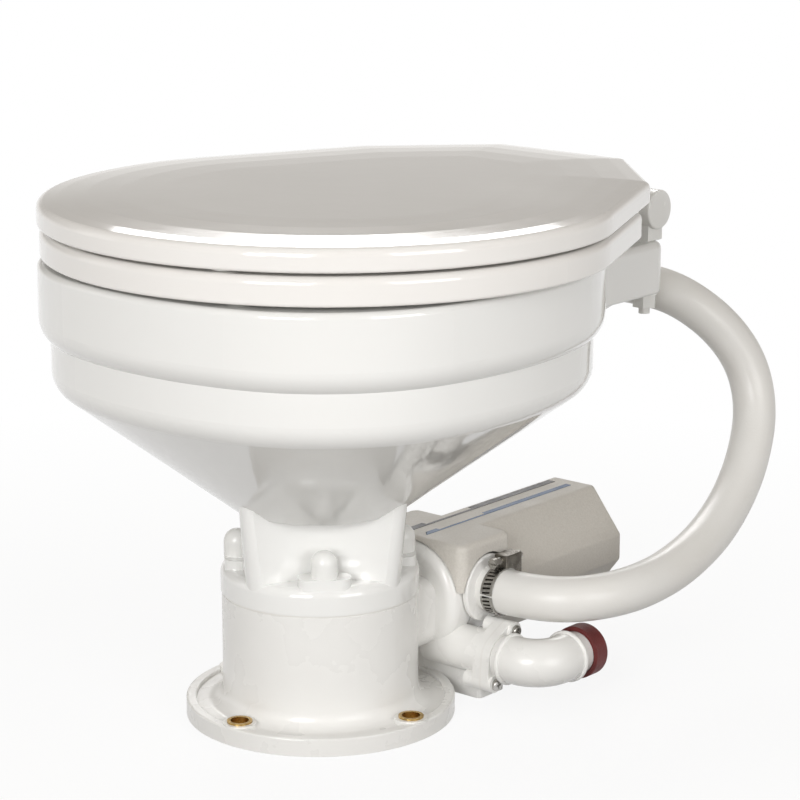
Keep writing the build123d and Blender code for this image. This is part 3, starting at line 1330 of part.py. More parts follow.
with BuildPart() as discharge_cap:
    with BuildSketch(back_plane(ELBOW_END_X, PLUG_Y, NECK_Z)):
        Circle(PLUG_R)
    extrude(amount=PLUG_L)
    fillet(discharge_cap.edges().group_by(Axis.Y)[-1], PLUG_ROUND)
    with BuildSketch(back_plane(ELBOW_END_X, PLUG_Y, NECK_Z)):
        Circle(ELBOW_R + SLIP)
    extrude(amount=PLUG_L - PLUG_END_T, mode=Mode.SUBTRACT)


# Motor cover: front block over the pump and a long eight-sided body over the motor, one thin shell
def block_form(shrink, low_z):
    with BuildPart() as form:
        with BuildSketch(level(low_z)):
            with Locations((PUMP_X, (BLOCK_Y0 + BLOCK_Y1) / 2)):
                RectangleRounded(
                    BLOCK_HALF + BLOCK_HALF - shrink - shrink,
                    BLOCK_Y1 - BLOCK_Y0 - shrink - shrink,
                    BLOCK_ROUND - shrink,
                )
        extrude(amount=COVER_TOP_Z - shrink - low_z)
        fillet(form.edges().group_by(Axis.Z)[-1], COVER_EDGE - shrink / 2)
    return form.part


def body_form(shrink, front_y, rear_y):
    wide = BODY_HALF_W - shrink
    tall = BODY_HALF_H - shrink
    flat = BODY_FLAT_HALF - shrink / 2
    side = BODY_SIDE_HALF - shrink / 2
    with BuildPart() as form:
        with BuildSketch(pump_plane(front_y)) as section:
            Polygon(
                (wide, -side), (wide, side), (flat, tall), (-flat, tall),
                (-wide, side), (-wide, -side), (-flat, -tall), (flat, -tall),
                align=None,
            )
            fillet(section.vertices(), BODY_EDGE - shrink / 2)
        extrude(amount=rear_y - front_y)
        fillet(form.faces().sort_by(Axis.Y)[-1].edges(), BODY_EDGE - shrink / 2)
    return form.part


with BuildPart() as motor_cover:
    add(block_form(0, BLOCK_Z) + body_form(0, BODY_Y0, BODY_Y1)
        - body_form(COVER_WALL, BODY_Y0 - CUT, BODY_Y1 - COVER_WALL)
        - block_form(BLOCK_WALL, BLOCK_Z - CUT))
    add(disc_y(BLOCK_Y0 - CUT, COVER_WALL + CUT + CUT, STACK_R + VOLUTE_FIT), mode=Mode.SUBTRACT)
    add(disc_x(PUMP_X, PORT_Y, PORT_Z, BLOCK_HALF + CUT, PORT_ARCH_R), mode=Mode.SUBTRACT)
    add(disc_x(PUMP_X - BLOCK_HALF - CUT, INTAKE_Y + INTAKE_L / 2, PORT_Z, BLOCK_HALF, INLET_ARCH_R),
        mode=Mode.SUBTRACT)
    with BuildSketch(pump_plane(BODY_Y1)):
        with Locations((COVER_SCREW_PCD_R, 0), (-COVER_SCREW_PCD_R, 0)):
            Circle(COVER_SCREW_R + SLIP)
        with Locations((GROMMET_X - PUMP_X, PUMP_Z - GROMMET_Z)):
            Circle(GROMMET_NECK_R + RUN)
    extrude(amount=-COVER_WALL - CUT, mode=Mode.SUBTRACT)
print("cover", round(motor_cover.part.volume), len(motor_cover.part.solids()))

COVER_SPOTS = [(COVER_SCREW_PCD_R, 0), (-COVER_SCREW_PCD_R, 0)]
with BuildPart() as cover_screws:
    with BuildSketch(pump_plane(BODY_Y1)):
        with Locations(COVER_SPOTS):
            Circle(COVER_SCREW_HEAD_R)
    extrude(amount=COVER_SCREW_HEAD_H)
    fillet(cover_screws.edges().group_by(Axis.Y)[-1], COVER_SCREW_HEAD_H / 2)
    with BuildSketch(pump_plane(BODY_Y1 + COVER_SCREW_HEAD_H)):
        with Locations(COVER_SPOTS):
            Rectangle(COVER_SCREW_HEAD_R + COVER_SCREW_HEAD_R + CUT, SCREW_SLOT_W)
    extrude(amount=-SCREW_SLOT_D, mode=Mode.SUBTRACT)
    with BuildSketch(pump_plane(BODY_Y1)):
        with Locations(COVER_SPOTS):
            Circle(COVER_SCREW_R)
    extrude(amount=END_CAP_Y + CAP_T - COVER_SCREW_DEPTH + CUT - BODY_Y1)

with BuildPart() as cover_spacers:
    with BuildSketch(pump_plane(END_CAP_Y + CAP_T)):
        with Locations(COVER_SPOTS):
            Circle(COVER_SCREW_HEAD_R)
            Circle(COVER_SCREW_R + SLIP, mode=Mode.SUBTRACT)
    extrude(amount=BODY_Y1 - COVER_WALL - END_CAP_Y - CAP_T)

with BuildPart() as cable_grommet:
    add(disc_y(BODY_Y1 - COVER_WALL, COVER_WALL, GROMMET_NECK_R, 0, GROMMET_X, GROMMET_Z))
    add(disc_y(BODY_Y1, GROMMET_T, GROMMET_R, 0, GROMMET_X, GROMMET_Z))
    add(disc_y(BODY_Y1 - COVER_WALL - GROMMET_T, GROMMET_T, GROMMET_R, 0, GROMMET_X, GROMMET_Z))
    add(disc_y(BODY_Y1 - COVER_WALL - CUT - GROMMET_T, COVER_WALL + GROMMET_T + GROMMET_T + CUT + CUT,
               GROMMET_BORE_R, 0, GROMMET_X, GROMMET_Z), mode=Mode.SUBTRACT)

# Fill hose: straight runs joined by arcs; the shorter run at each corner and the turn set the radius
def corner_radii(points):
    radii = []
    for before, corner, after in zip(points, points[1:], points[2:]):
        run_in = Vector(*corner) - Vector(*before)
        run_out = Vector(*after) - Vector(*corner)
        turn = math.radians(run_in.get_angle(run_out))
        radii.append(RADIUS_SHARE * min(run_in.length, run_out.length) / math.tan(turn / 2))
    return radii


hose_radii = corner_radii(HOSE_ROUTE)
with BuildPart() as fill_hose:
    with BuildLine() as hose_path:
        FilletPolyline(*HOSE_ROUTE, radius=hose_radii)
    with BuildSketch(side_plane(*HOSE_ROUTE[0])):
        Circle(HOSE_R)
        Circle(HOSE_BORE_R, mode=Mode.SUBTRACT)
    sweep(path=hose_path.wire())
hose_length = hose_path.wire().length
hose_section = math.pi * (HOSE_R * HOSE_R - HOSE_BORE_R * HOSE_BORE_R)
print("hose radii", [round(radius, 1) for radius in hose_radii])
print("hose length", round(hose_length, 1), "volume share",
      round(fill_hose.part.volume / (hose_length * hose_section), 4))

# Worm-drive clamp on the hose
with BuildPart() as clamp_band:
    add(disc_x(CLAMP_X, PORT_Y, PORT_Z, CLAMP_W, HOSE_R + RUN + CLAMP_T, HOSE_R + RUN))
    for index in range(CLAMP_SLOTS):
        turn = CLAMP_SLOT_START + index * CLAMP_SLOT_STEP
        slot_plane = side_plane(CLAMP_X + CLAMP_W / 2, PORT_Y, PORT_Z).rotated((0, 0, turn))
        with BuildSketch(slot_plane):
            with Locations((HOSE_R + CLAMP_T, 0)):
                Rectangle(CLAMP_T + CUT, CLAMP_SLOT_W)
        extrude(amount=CLAMP_SLOT_L / 2, both=True, mode=Mode.SUBTRACT)

CLAMP_MID_X = CLAMP_X + CLAMP_W / 2
CLAMP_BOX_Y = PORT_Y + CLAMP_BOX_SHIFT
CLAMP_SCREW_Z = PORT_Z + HOSE_R + CLAMP_T + CLAMP_BOX_H / 2
with BuildPart() as clamp_housing:
    with BuildSketch(level(PORT_Z + HOSE_R / 2)):
        with Locations((CLAMP_MID_X, CLAMP_BOX_Y)):
            RectangleRounded(CLAMP_BOX_W, CLAMP_BOX_L, CLAMP_T)
    extrude(amount=HOSE_R / 2 + CLAMP_T + CLAMP_BOX_H)
    fillet(clamp_housing.edges().group_by(Axis.Z)[-1], CLAMP_T)
    add(disc_x(CLAMP_X - CUT, PORT_Y, PORT_Z, CLAMP_BOX_W + CUT + CUT, HOSE_R + CLAMP_T + RUN + RUN),
        mode=Mode.SUBTRACT)
    add(disc_y(CLAMP_BOX_Y - CLAMP_BOX_L, CLAMP_BOX_L + CLAMP_BOX_L, CLAMP_SCREW_R + RUN, 0, CLAMP_MID_X,
               CLAMP_SCREW_Z), mode=Mode.SUBTRACT)

with BuildPart() as clamp_screw:
    add(disc_y(CLAMP_BOX_Y - CLAMP_SCREW_L / 2, CLAMP_SCREW_L, CLAMP_SCREW_R, 0,
               CLAMP_MID_X, CLAMP_SCREW_Z))
    with BuildSketch(back_plane(CLAMP_MID_X, CLAMP_BOX_Y - CLAMP_SCREW_L / 2, CLAMP_SCREW_Z)):
        RegularPolygon(CLAMP_HEAD_R, side_count=HEX)
    extrude(amount=-CLAMP_HEAD_L)
    with BuildSketch(back_plane(CLAMP_MID_X, CLAMP_BOX_Y - CLAMP_SCREW_L / 2 - CLAMP_HEAD_L, CLAMP_SCREW_Z)):
        Rectangle(CLAMP_HEAD_R + CLAMP_HEAD_R + CUT, SCREW_SLOT_W)
    extrude(amount=SCREW_SLOT_D, mode=Mode.SUBTRACT)

# Inlet elbow behind the bowl: spigot in a rubber sleeve, bend, hose spigot
INLET_END_Y = HOSE_ROUTE[-1][1]
with BuildPart() as inlet_elbow:
    with BuildLine() as inlet_path:
        start = (INLET_X, DECK_Y1 + SEAL_LIP_T, INLET_Z)
        bend_start = (INLET_X, INLET_END_Y - INLET_BEND_R, INLET_Z)
        Line(start, bend_start)
        TangentArc(bend_start, (INLET_X + INLET_BEND_R, INLET_END_Y, INLET_Z), tangent=(0, 1, 0))
        Line((INLET_X + INLET_BEND_R, INLET_END_Y, INLET_Z), (HOSE_END_X, INLET_END_Y, INLET_Z))
    with BuildSketch(back_plane(INLET_X, DECK_Y1 + SEAL_LIP_T, INLET_Z)):
        Circle(INLET_BODY_R)
        Circle(INLET_TUBE_BORE_R, mode=Mode.SUBTRACT)
    sweep(path=inlet_path.wire())
    add(disc_y(DECK_Y1 - SEAL_SLEEVE_L, SEAL_SLEEVE_L + SEAL_LIP_T + RUN, INLET_TUBE_R, INLET_TUBE_BORE_R,
               INLET_X, INLET_Z))
    add(disc_x(HOSE_END_X - RUN, INLET_END_Y, INLET_Z, INLET_SPIGOT_L, SPIGOT_R, SPIGOT_BORE_R))

with BuildPart() as spud_seal:
    add(disc_y(DECK_Y1 - SEAL_SLEEVE_L, SEAL_SLEEVE_L, INLET_BORE_R - RUN, INLET_TUBE_R + RUN,
               INLET_X, INLET_Z))
    add(disc_y(DECK_Y1, SEAL_LIP_T, SEAL_LIP_R, INLET_TUBE_R + RUN, INLET_X, INLET_Z))
print("inlet", round(inlet_elbow.part.volume), len(inlet_elbow.part.solids()))

NODES = {
    "base_casting": base_casting.part,
    "mount_bushes": mount_bushes.part,
    "bowl_gasket": bowl_gasket.part,
    "bowl": whole_bowl.part,
    "bowl_studs": bowl_studs.part,
    "nut_washers": nut_washers.part,
    "stud_nuts": stud_nuts.part,
    "nut_caps": nut_caps.part,
    "discharge_elbow": discharge_elbow.part,
    "elbow_gasket": elbow_gasket,
    "elbow_screws": elbow_screws.part,
    "joker_valve": joker_valve.part,
    "discharge_cap": discharge_cap.part,
    "pump_plate": pump_plate.part,
    "intake_pump_body": intake_pump_body.part,
    "housing_seals": housing_seals.part,
    "pump_end_plate": pump_end_plate.part,
    "shaft_seals": shaft_seals.part,
    "pump_screws": pump_screws.part,
    "motor_front_bell": motor_front_bell.part,
    "motor_can": motor_can.part,
    "motor_end_cap": motor_end_cap.part,
    "front_bearing": front_bearing,
    "rear_bearing": rear_bearing,
    "field_magnets": field_magnets.part,
    "brush_holder": brush_holder.part,
    "brushes": brushes.part,
    "through_bolts": through_bolts.part,
    "motor_shaft": motor_shaft,
    "armature": armature.part,
    "windings": windings.part,
    "commutator": commutator.part,
    "macerator_blade": macerator_blade.part,
    "blade_nut": blade_nut.part,
    "discharge_impeller": discharge_impeller.part,
    "intake_impeller": intake_impeller.part,
    "motor_cover": motor_cover.part,
    "cover_screws": cover_screws.part,
    "cover_spacers": cover_spacers.part,
    "cable_grommet": cable_grommet.part,
    "fill_hose": fill_hose.part,
    "clamp_band": clamp_band.part,
    "clamp_housing": clamp_housing.part,
    "clamp_screw": clamp_screw.part,
    "inlet_elbow": inlet_elbow.part,
    "spud_seal": spud_seal.part,
    "hinge_posts": hinge_posts.part,
    "hinge_caps": hinge_caps.part,
    "hinge_pin": hinge_pin,
    "hinge_bolts": hinge_bolts.part,
    "hinge_washers": hinge_washers.part,
    "hinge_nuts": hinge_nuts.part,
    "seat_ring": seat_ring.part,
    "seat_lugs": seat_lugs.part,
    "seat_lug_screws": seat_lug_screws,
    "seat_bumpers": seat_bumpers,
    "lid": lid.part,
    "lid_lugs": lid_lugs.part,
    "lid_lug_screws": lid_lug_screws,
    "lid_bumpers": lid_bumpers,
}

for name, solid in NODES.items():
    solid.label = name
    export_step(solid, "parts/" + name + ".step")
    box = solid.bounding_box()
    print(name, len(solid.solids()), round(solid.volume), box.min, box.max)
print("nodes", len(NODES))
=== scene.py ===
import json
import math

import bpy
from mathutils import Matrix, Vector


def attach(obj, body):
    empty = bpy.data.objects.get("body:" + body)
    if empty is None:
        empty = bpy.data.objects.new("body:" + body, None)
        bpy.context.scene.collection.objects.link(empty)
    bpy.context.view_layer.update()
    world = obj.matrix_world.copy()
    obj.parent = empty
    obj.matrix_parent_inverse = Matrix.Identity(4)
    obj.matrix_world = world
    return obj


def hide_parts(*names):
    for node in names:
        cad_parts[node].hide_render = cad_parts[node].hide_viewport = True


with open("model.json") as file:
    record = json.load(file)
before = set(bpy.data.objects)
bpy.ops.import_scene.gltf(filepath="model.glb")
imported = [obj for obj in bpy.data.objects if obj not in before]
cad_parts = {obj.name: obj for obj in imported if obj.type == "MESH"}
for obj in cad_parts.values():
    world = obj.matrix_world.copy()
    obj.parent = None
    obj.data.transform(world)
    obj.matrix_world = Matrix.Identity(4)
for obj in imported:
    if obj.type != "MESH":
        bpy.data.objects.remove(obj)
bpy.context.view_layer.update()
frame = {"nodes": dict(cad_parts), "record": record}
nodes = frame["nodes"]
record = frame["record"]
print("frame loaded:", len(nodes), "nodes")


# Camera, in metres, fitted to the photograph
cameraSettings = {
    "place": (1.1499, -1.2777, 0.6390),
    "target": (0.0391, 0.0363, 0.2133),
    "lens": 121.5,
    "sensor": 36.0,
    "clipEnd": 50,
}


def placeCamera(settings):
    data = bpy.data.cameras.new("photoCamera")
    data.lens = settings["lens"]
    data.sensor_width = settings["sensor"]
    data.clip_end = settings["clipEnd"]
    cameraObject = bpy.data.objects.new("photoCamera", data)
    bpy.context.scene.collection.objects.link(cameraObject)
    cameraObject.location = settings["place"]
    aim = Vector(settings["target"]) - Vector(settings["place"])
    cameraObject.rotation_euler = aim.to_track_quat("-Z", "Y").to_euler()
    bpy.context.scene.camera = cameraObject


placeCamera(cameraSettings)
print("camera placed")

# Fill hose: the route repeats the pump-to-bowl route of the part, in metres
hoseSettings = {
    "outerRadius": 0.0155,
    "length": 0.485,
    "splineOrder": 3,
    "stepsAlong": 12,
    "stepsRound": 12,
    "route": [
        (0.0655, 0.0985, 0.0745), (0.0965, 0.0985, 0.0745), (0.1270, 0.1090, 0.0755),
        (0.1445, 0.1390, 0.0765), (0.1475, 0.1780, 0.0775), (0.1445, 0.2190, 0.0820),
        (0.1385, 0.2600, 0.0910), (0.1310, 0.2980, 0.1070), (0.1235, 0.3280, 0.1300),
        (0.1160, 0.3475, 0.1600), (0.1060, 0.3495, 0.1920), (0.0920, 0.3360, 0.2200),
        (0.0720, 0.3160, 0.2420), (0.0480, 0.3060, 0.2500), (0.0260, 0.3060, 0.2500),
    ],
}


def makeHose(settings):
    curve = bpy.data.curves.new("fillHose", "CURVE")
    curve.dimensions = "3D"
    spline = curve.splines.new("NURBS")
    spline.points.add(len(settings["route"]) - 1)
    for point, place in zip(spline.points, settings["route"]):
        point.co = (*place, 1)
        point.radius = settings["outerRadius"]
    spline.order_u = settings["splineOrder"]
    spline.use_endpoint_u = True
    spline.resolution_u = settings["stepsAlong"]
    curve.bevel_depth = 1.0  # one metre times each point's radius
    curve.bevel_resolution = settings["stepsRound"]
    curve.use_fill_caps = True
    hose = bpy.data.objects.new("fillHose", curve)
    bpy.context.scene.collection.objects.link(hose)
    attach(hose, "base")
    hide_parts("fill_hose")
    return hose


hose = makeHose(hoseSettings)
print("hose laid")


# Shared node groups, and how fine and how wide their noise is
noiseSettings = {
    "toneDetail": 4,
    "toneFrom": 0.35,
    "toneTo": 0.7,
    "polishDetail": 6,
    "polishFrom": 0.3,
    "polishTo": 0.75,
    "swellDetail": 1,
    "grainDetail": 3,
}


def newGroup(name, inputs, outputs):
    group = bpy.data.node_groups.new(name, "ShaderNodeTree")
    for label, kind, value in inputs:
        socket = group.interface.new_socket(name=label, in_out="INPUT", socket_type=kind)
        socket.default_value = value
    for label, kind in outputs:
        group.interface.new_socket(name=label, in_out="OUTPUT", socket_type=kind)
    start = group.nodes.new("NodeGroupInput")
    end = group.nodes.new("NodeGroupOutput")
    return group, start, end


def buildToneDrift(settings):
    # slow change of tone over the surface, with a faint second tone in patches
    group, start, end = newGroup(
        "toneDrift",
        [("Color", "NodeSocketColor", (0.8, 0.8, 0.8, 1)), ("Tint", "NodeSocketColor", (0.7, 0.7, 0.7, 1)),
         ("Scale", "NodeSocketFloat", 8), ("Amount", "NodeSocketFloat", 0.2)],
        [("Color", "NodeSocketColor")],
    )
    place = group.nodes.new("ShaderNodeTexCoord")
    noise = group.nodes.new("ShaderNodeTexNoise")
    noise.inputs["Detail"].default_value = settings["toneDetail"]
    ramp = group.nodes.new("ShaderNodeMapRange")
    ramp.inputs["From Min"].default_value = settings["toneFrom"]
    ramp.inputs["From Max"].default_value = settings["toneTo"]
    amount = group.nodes.new("ShaderNodeMath")
    amount.operation = "MULTIPLY"
    mix = group.nodes.new("ShaderNodeMix")
    mix.data_type = "RGBA"
    links = group.links
    links.new(place.outputs["Object"], noise.inputs["Vector"])
    links.new(start.outputs["Scale"], noise.inputs["Scale"])
    links.new(noise.outputs["Fac"], ramp.inputs["Value"])
    links.new(ramp.outputs["Result"], amount.inputs[0])
    links.new(start.outputs["Amount"], amount.inputs[1])
    links.new(amount.outputs["Value"], mix.inputs["Factor"])
    links.new(start.outputs["Color"], mix.inputs["A"])
    links.new(start.outputs["Tint"], mix.inputs["B"])
    links.new(mix.outputs["Result"], end.inputs["Color"])
    return group


def buildPolishDrift(settings):
    # roughness that changes a little from place to place, as handling leaves it
    group, start, end = newGroup(
        "polishDrift",
        [("Low", "NodeSocketFloat", 0.1), ("High", "NodeSocketFloat", 0.2),
         ("Scale", "NodeSocketFloat", 20)],
        [("Roughness", "NodeSocketFloat")],
    )
    place = group.nodes.new("ShaderNodeTexCoord")
    noise = group.nodes.new("ShaderNodeTexNoise")
    noise.inputs["Detail"].default_value = settings["polishDetail"]
    ramp = group.nodes.new("ShaderNodeMapRange")
    ramp.inputs["From Min"].default_value = settings["polishFrom"]
    ramp.inputs["From Max"].default_value = settings["polishTo"]
    links = group.links
    links.new(place.outputs["Object"], noise.inputs["Vector"])
    links.new(start.outputs["Scale"], noise.inputs["Scale"])
    links.new(noise.outputs["Fac"], ramp.inputs["Value"])
    links.new(start.outputs["Low"], ramp.inputs["To Min"])
    links.new(start.outputs["High"], ramp.inputs["To Max"])
    links.new(ramp.outputs["Result"], end.inputs["Roughness"])
    return group


def buildSkinGrain(settings):
    # height of the skin: a slow swell as glaze has, and fine grain as moulded plastic has
    group, start, end = newGroup(
        "skinGrain",
        [("Swell Scale", "NodeSocketFloat", 25), ("Swell", "NodeSocketFloat", 0.5),
         ("Grain Scale", "NodeSocketFloat", 900), ("Grain", "NodeSocketFloat", 0.2)],
        [("Height", "NodeSocketFloat")],
    )
    place = group.nodes.new("ShaderNodeTexCoord")
    swell = group.nodes.new("ShaderNodeTexNoise")
    swell.inputs["Detail"].default_value = settings["swellDetail"]
    grain = group.nodes.new("ShaderNodeTexNoise")
    grain.inputs["Detail"].default_value = settings["grainDetail"]
    swellHeight = group.nodes.new("ShaderNodeMath")
    swellHeight.operation = "MULTIPLY"
    grainHeight = group.nodes.new("ShaderNodeMath")
    grainHeight.operation = "MULTIPLY"
    total = group.nodes.new("ShaderNodeMath")
    total.operation = "ADD"
    links = group.links
    links.new(place.outputs["Object"], swell.inputs["Vector"])
    links.new(place.outputs["Object"], grain.inputs["Vector"])
    links.new(start.outputs["Swell Scale"], swell.inputs["Scale"])
    links.new(start.outputs["Grain Scale"], grain.inputs["Scale"])
    links.new(swell.outputs["Fac"], swellHeight.inputs[0])
    links.new(start.outputs["Swell"], swellHeight.inputs[1])
    links.new(grain.outputs["Fac"], grainHeight.inputs[0])
    links.new(start.outputs["Grain"], grainHeight.inputs[1])
    links.new(swellHeight.outputs["Value"], total.inputs[0])
    links.new(grainHeight.outputs["Value"], total.inputs[1])
    links.new(total.outputs["Value"], end.inputs["Height"])
    return group


toneDrift = buildToneDrift(noiseSettings)
polishDrift = buildPolishDrift(noiseSettings)
skinGrain = buildSkinGrain(noiseSettings)

# Finishes, one for each material slot of the record
finishes = {
    "china": {"color": (0.86, 0.86, 0.845), "tint": (0.82, 0.815, 0.79), "toneScale": 7, "toneAmount": 0.25,
              "low": 0.05, "high": 0.11, "polishScale": 14, "swellScale": 22, "swell": 0.6,
              "grainScale": 500, "grain": 0.05, "bump": 0.0006, "coat": 0.6, "coatRoughness": 0.03},
    "white_enamel": {"color": (0.86, 0.84, 0.815), "tint": (0.81, 0.785, 0.75), "toneScale": 5,
                     "toneAmount": 0.25, "low": 0.07, "high": 0.14, "polishScale": 9, "swellScale": 40,
                     "swell": 0.4, "grainScale": 700, "grain": 0.08, "bump": 0.0004, "coat": 0.5,
                     "coatRoughness": 0.05},
    "base_white": {"color": (0.84, 0.835, 0.815), "tint": (0.80, 0.785, 0.755), "toneScale": 10,
                   "toneAmount": 0.25, "low": 0.22, "high": 0.36, "polishScale": 25, "swellScale": 60,
                   "swell": 0.3, "grainScale": 900, "grain": 0.25, "bump": 0.0005, "coat": 0.25,
                   "coatRoughness": 0.15},
    "white_plastic": {"color": (0.86, 0.86, 0.84), "tint": (0.78, 0.77, 0.74), "toneScale": 30,
                      "toneAmount": 0.3, "low": 0.18, "high": 0.3, "polishScale": 50, "swellScale": 90,
                      "swell": 0.2, "grainScale": 1200, "grain": 0.2, "bump": 0.0003, "coat": 0.1,
                      "coatRoughness": 0.2},
    "cover_grey": {"color": (0.66, 0.63, 0.58), "tint": (0.55, 0.52, 0.47), "toneScale": 700,
                   "toneAmount": 0.5, "low": 0.42, "high": 0.6, "polishScale": 60, "swellScale": 40,
                   "swell": 0.2, "grainScale": 1500, "grain": 1.0, "bump": 0.0006, "coat": 0.0,
                   "coatRoughness": 0.3},
    "hose_white": {"color": (0.80, 0.79, 0.765), "tint": (0.72, 0.69, 0.64), "toneScale": 18,
                   "toneAmount": 0.35, "low": 0.3, "high": 0.45, "polishScale": 30, "swellScale": 45,
                   "swell": 0.5, "grainScale": 800, "grain": 0.3, "bump": 0.0005, "coat": 0.15,
                   "coatRoughness": 0.25},
    "cap_red": {"color": (0.155, 0.022, 0.020), "tint": (0.08, 0.012, 0.012), "toneScale": 60,
                "toneAmount": 0.6, "low": 0.45, "high": 0.65, "polishScale": 60, "swellScale": 90,
                "swell": 0.4, "grainScale": 1400, "grain": 0.9, "bump": 0.0008, "coat": 0.0,
                "coatRoughness": 0.3},
    "brass": {"color": (0.62, 0.43, 0.16), "tint": (0.36, 0.22, 0.08), "toneScale": 120,
              "toneAmount": 0.5, "low": 0.2, "high": 0.4, "polishScale": 150, "swellScale": 200,
              "swell": 0.2, "grainScale": 1500, "grain": 0.4, "bump": 0.0003, "metal": 1.0},
    "stainless": {"color": (0.50, 0.49, 0.47), "tint": (0.24, 0.23, 0.20), "toneScale": 150,
                  "toneAmount": 0.5, "low": 0.18, "high": 0.38, "polishScale": 200, "swellScale": 200,
                  "swell": 0.2, "grainScale": 1500, "grain": 0.4, "bump": 0.0003, "metal": 1.0},
    "worm_steel": {"color": (0.20, 0.185, 0.16), "tint": (0.07, 0.06, 0.05), "toneScale": 160,
                   "toneAmount": 0.7, "low": 0.22, "high": 0.42, "polishScale": 200, "swellScale": 200,
                   "swell": 0.2, "grainScale": 1500, "grain": 0.4, "bump": 0.0003, "metal": 1.0},
    "black_rubber": {"color": (0.03, 0.03, 0.03), "tint": (0.07, 0.068, 0.065), "toneScale": 60,
                     "toneAmount": 0.5, "low": 0.55, "high": 0.75, "polishScale": 60, "swellScale": 90,
                     "swell": 0.3, "grainScale": 1300, "grain": 0.8, "bump": 0.0005},
    "motor_steel": {"color": (0.10, 0.105, 0.115), "tint": (0.16, 0.16, 0.16), "toneScale": 40,
                    "toneAmount": 0.5, "low": 0.35, "high": 0.5, "polishScale": 60, "swellScale": 80,
                    "swell": 0.3, "grainScale": 1100, "grain": 0.6, "bump": 0.0004, "metal": 0.6},
    "motor_alloy": {"color": (0.48, 0.48, 0.49), "tint": (0.33, 0.33, 0.33), "toneScale": 60,
                    "toneAmount": 0.5, "low": 0.4, "high": 0.6, "polishScale": 80, "swellScale": 100,
                    "swell": 0.4, "grainScale": 1000, "grain": 0.8, "bump": 0.0005, "metal": 0.9},
    "magnet": {"color": (0.05, 0.048, 0.047), "tint": (0.09, 0.085, 0.08), "toneScale": 80,
               "toneAmount": 0.5, "low": 0.5, "high": 0.7, "polishScale": 90, "swellScale": 100,
               "swell": 0.3, "grainScale": 1100, "grain": 0.8, "bump": 0.0005, "metal": 0.2},
    "copper": {"color": (0.55, 0.24, 0.11), "tint": (0.36, 0.14, 0.06), "toneScale": 200,
               "toneAmount": 0.6, "low": 0.25, "high": 0.4, "polishScale": 160, "swellScale": 300,
               "swell": 0.4, "grainScale": 1500, "grain": 0.5, "bump": 0.0004, "metal": 1.0},
    "dark_plastic": {"color": (0.04, 0.04, 0.042), "tint": (0.07, 0.07, 0.07), "toneScale": 60,
                     "toneAmount": 0.5, "low": 0.4, "high": 0.6, "polishScale": 60, "swellScale": 80,
                     "swell": 0.3, "grainScale": 1300, "grain": 0.7, "bump": 0.0004},
    "label_dark": {"color": (0.045, 0.045, 0.05), "tint": (0.12, 0.12, 0.12), "toneScale": 500,
                   "toneAmount": 0.5, "low": 0.4, "high": 0.55, "polishScale": 80, "swellScale": 80,
                   "swell": 0.2, "grainScale": 1500, "grain": 0.5, "bump": 0.0002},
    "label_blue": {"color": (0.045, 0.11, 0.24), "tint": (0.12, 0.17, 0.26), "toneScale": 500,
                   "toneAmount": 0.5, "low": 0.4, "high": 0.55, "polishScale": 80, "swellScale": 80,
                   "swell": 0.2, "grainScale": 1500, "grain": 0.5, "bump": 0.0002},
}


# what a finish has where its own row says nothing
plainFinish = {"metal": 0.0, "coat": 0.0, "coatRoughness": 0.1, "bumpStrength": 0.5}


def makeFinish(name, ownLook):
    look = {**plainFinish, **ownLook}
    material = bpy.data.materials.new(name)
    material.use_nodes = True
    tree = material.node_tree
    shader = tree.nodes["Principled BSDF"]
    shader.inputs["Metallic"].default_value = look["metal"]
    shader.inputs["Coat Weight"].default_value = look["coat"]
    shader.inputs["Coat Roughness"].default_value = look["coatRoughness"]
    tone = tree.nodes.new("ShaderNodeGroup")
    tone.node_tree = toneDrift
    tone.inputs["Color"].default_value = (*look["color"], 1)
    tone.inputs["Tint"].default_value = (*look["tint"], 1)
    tone.inputs["Scale"].default_value = look["toneScale"]
    tone.inputs["Amount"].default_value = look["toneAmount"]
    polish = tree.nodes.new("ShaderNodeGroup")
    polish.node_tree = polishDrift
    polish.inputs["Low"].default_value = look["low"]
    polish.inputs["High"].default_value = look["high"]
    polish.inputs["Scale"].default_value = look["polishScale"]
    grain = tree.nodes.new("ShaderNodeGroup")
    grain.node_tree = skinGrain
    grain.inputs["Swell Scale"].default_value = look["swellScale"]
    grain.inputs["Swell"].default_value = look["swell"]
    grain.inputs["Grain Scale"].default_value = look["grainScale"]
    grain.inputs["Grain"].default_value = look["grain"]
    bump = tree.nodes.new("ShaderNodeBump")
    bump.inputs["Strength"].default_value = look["bumpStrength"]
    bump.inputs["Distance"].default_value = look["bump"]
    tree.links.new(tone.outputs["Color"], shader.inputs["Base Color"])
    tree.links.new(polish.outputs["Roughness"], shader.inputs["Roughness"])
    tree.links.new(grain.outputs["Height"], bump.inputs["Height"])
    tree.links.new(bump.outputs["Normal"], shader.inputs["Normal"])
    return material


materials = {name: makeFinish(name, look) for name, look in finishes.items()}

# Slots round the clamp band, where the worm takes hold, painted near-black: painted shade standing in for
# the shade inside the stamped slots
bandSettings = {
    "middle": (0.07575, 0.0985, 0.0745),
    "slots": 34,
    "open": 0.46,
    "halfLength": 0.0031,
    "slant": 1.5,
    # near-black painted shade for the inside of each slot
    "slotShadeColor": (0.05, 0.045, 0.04),
}


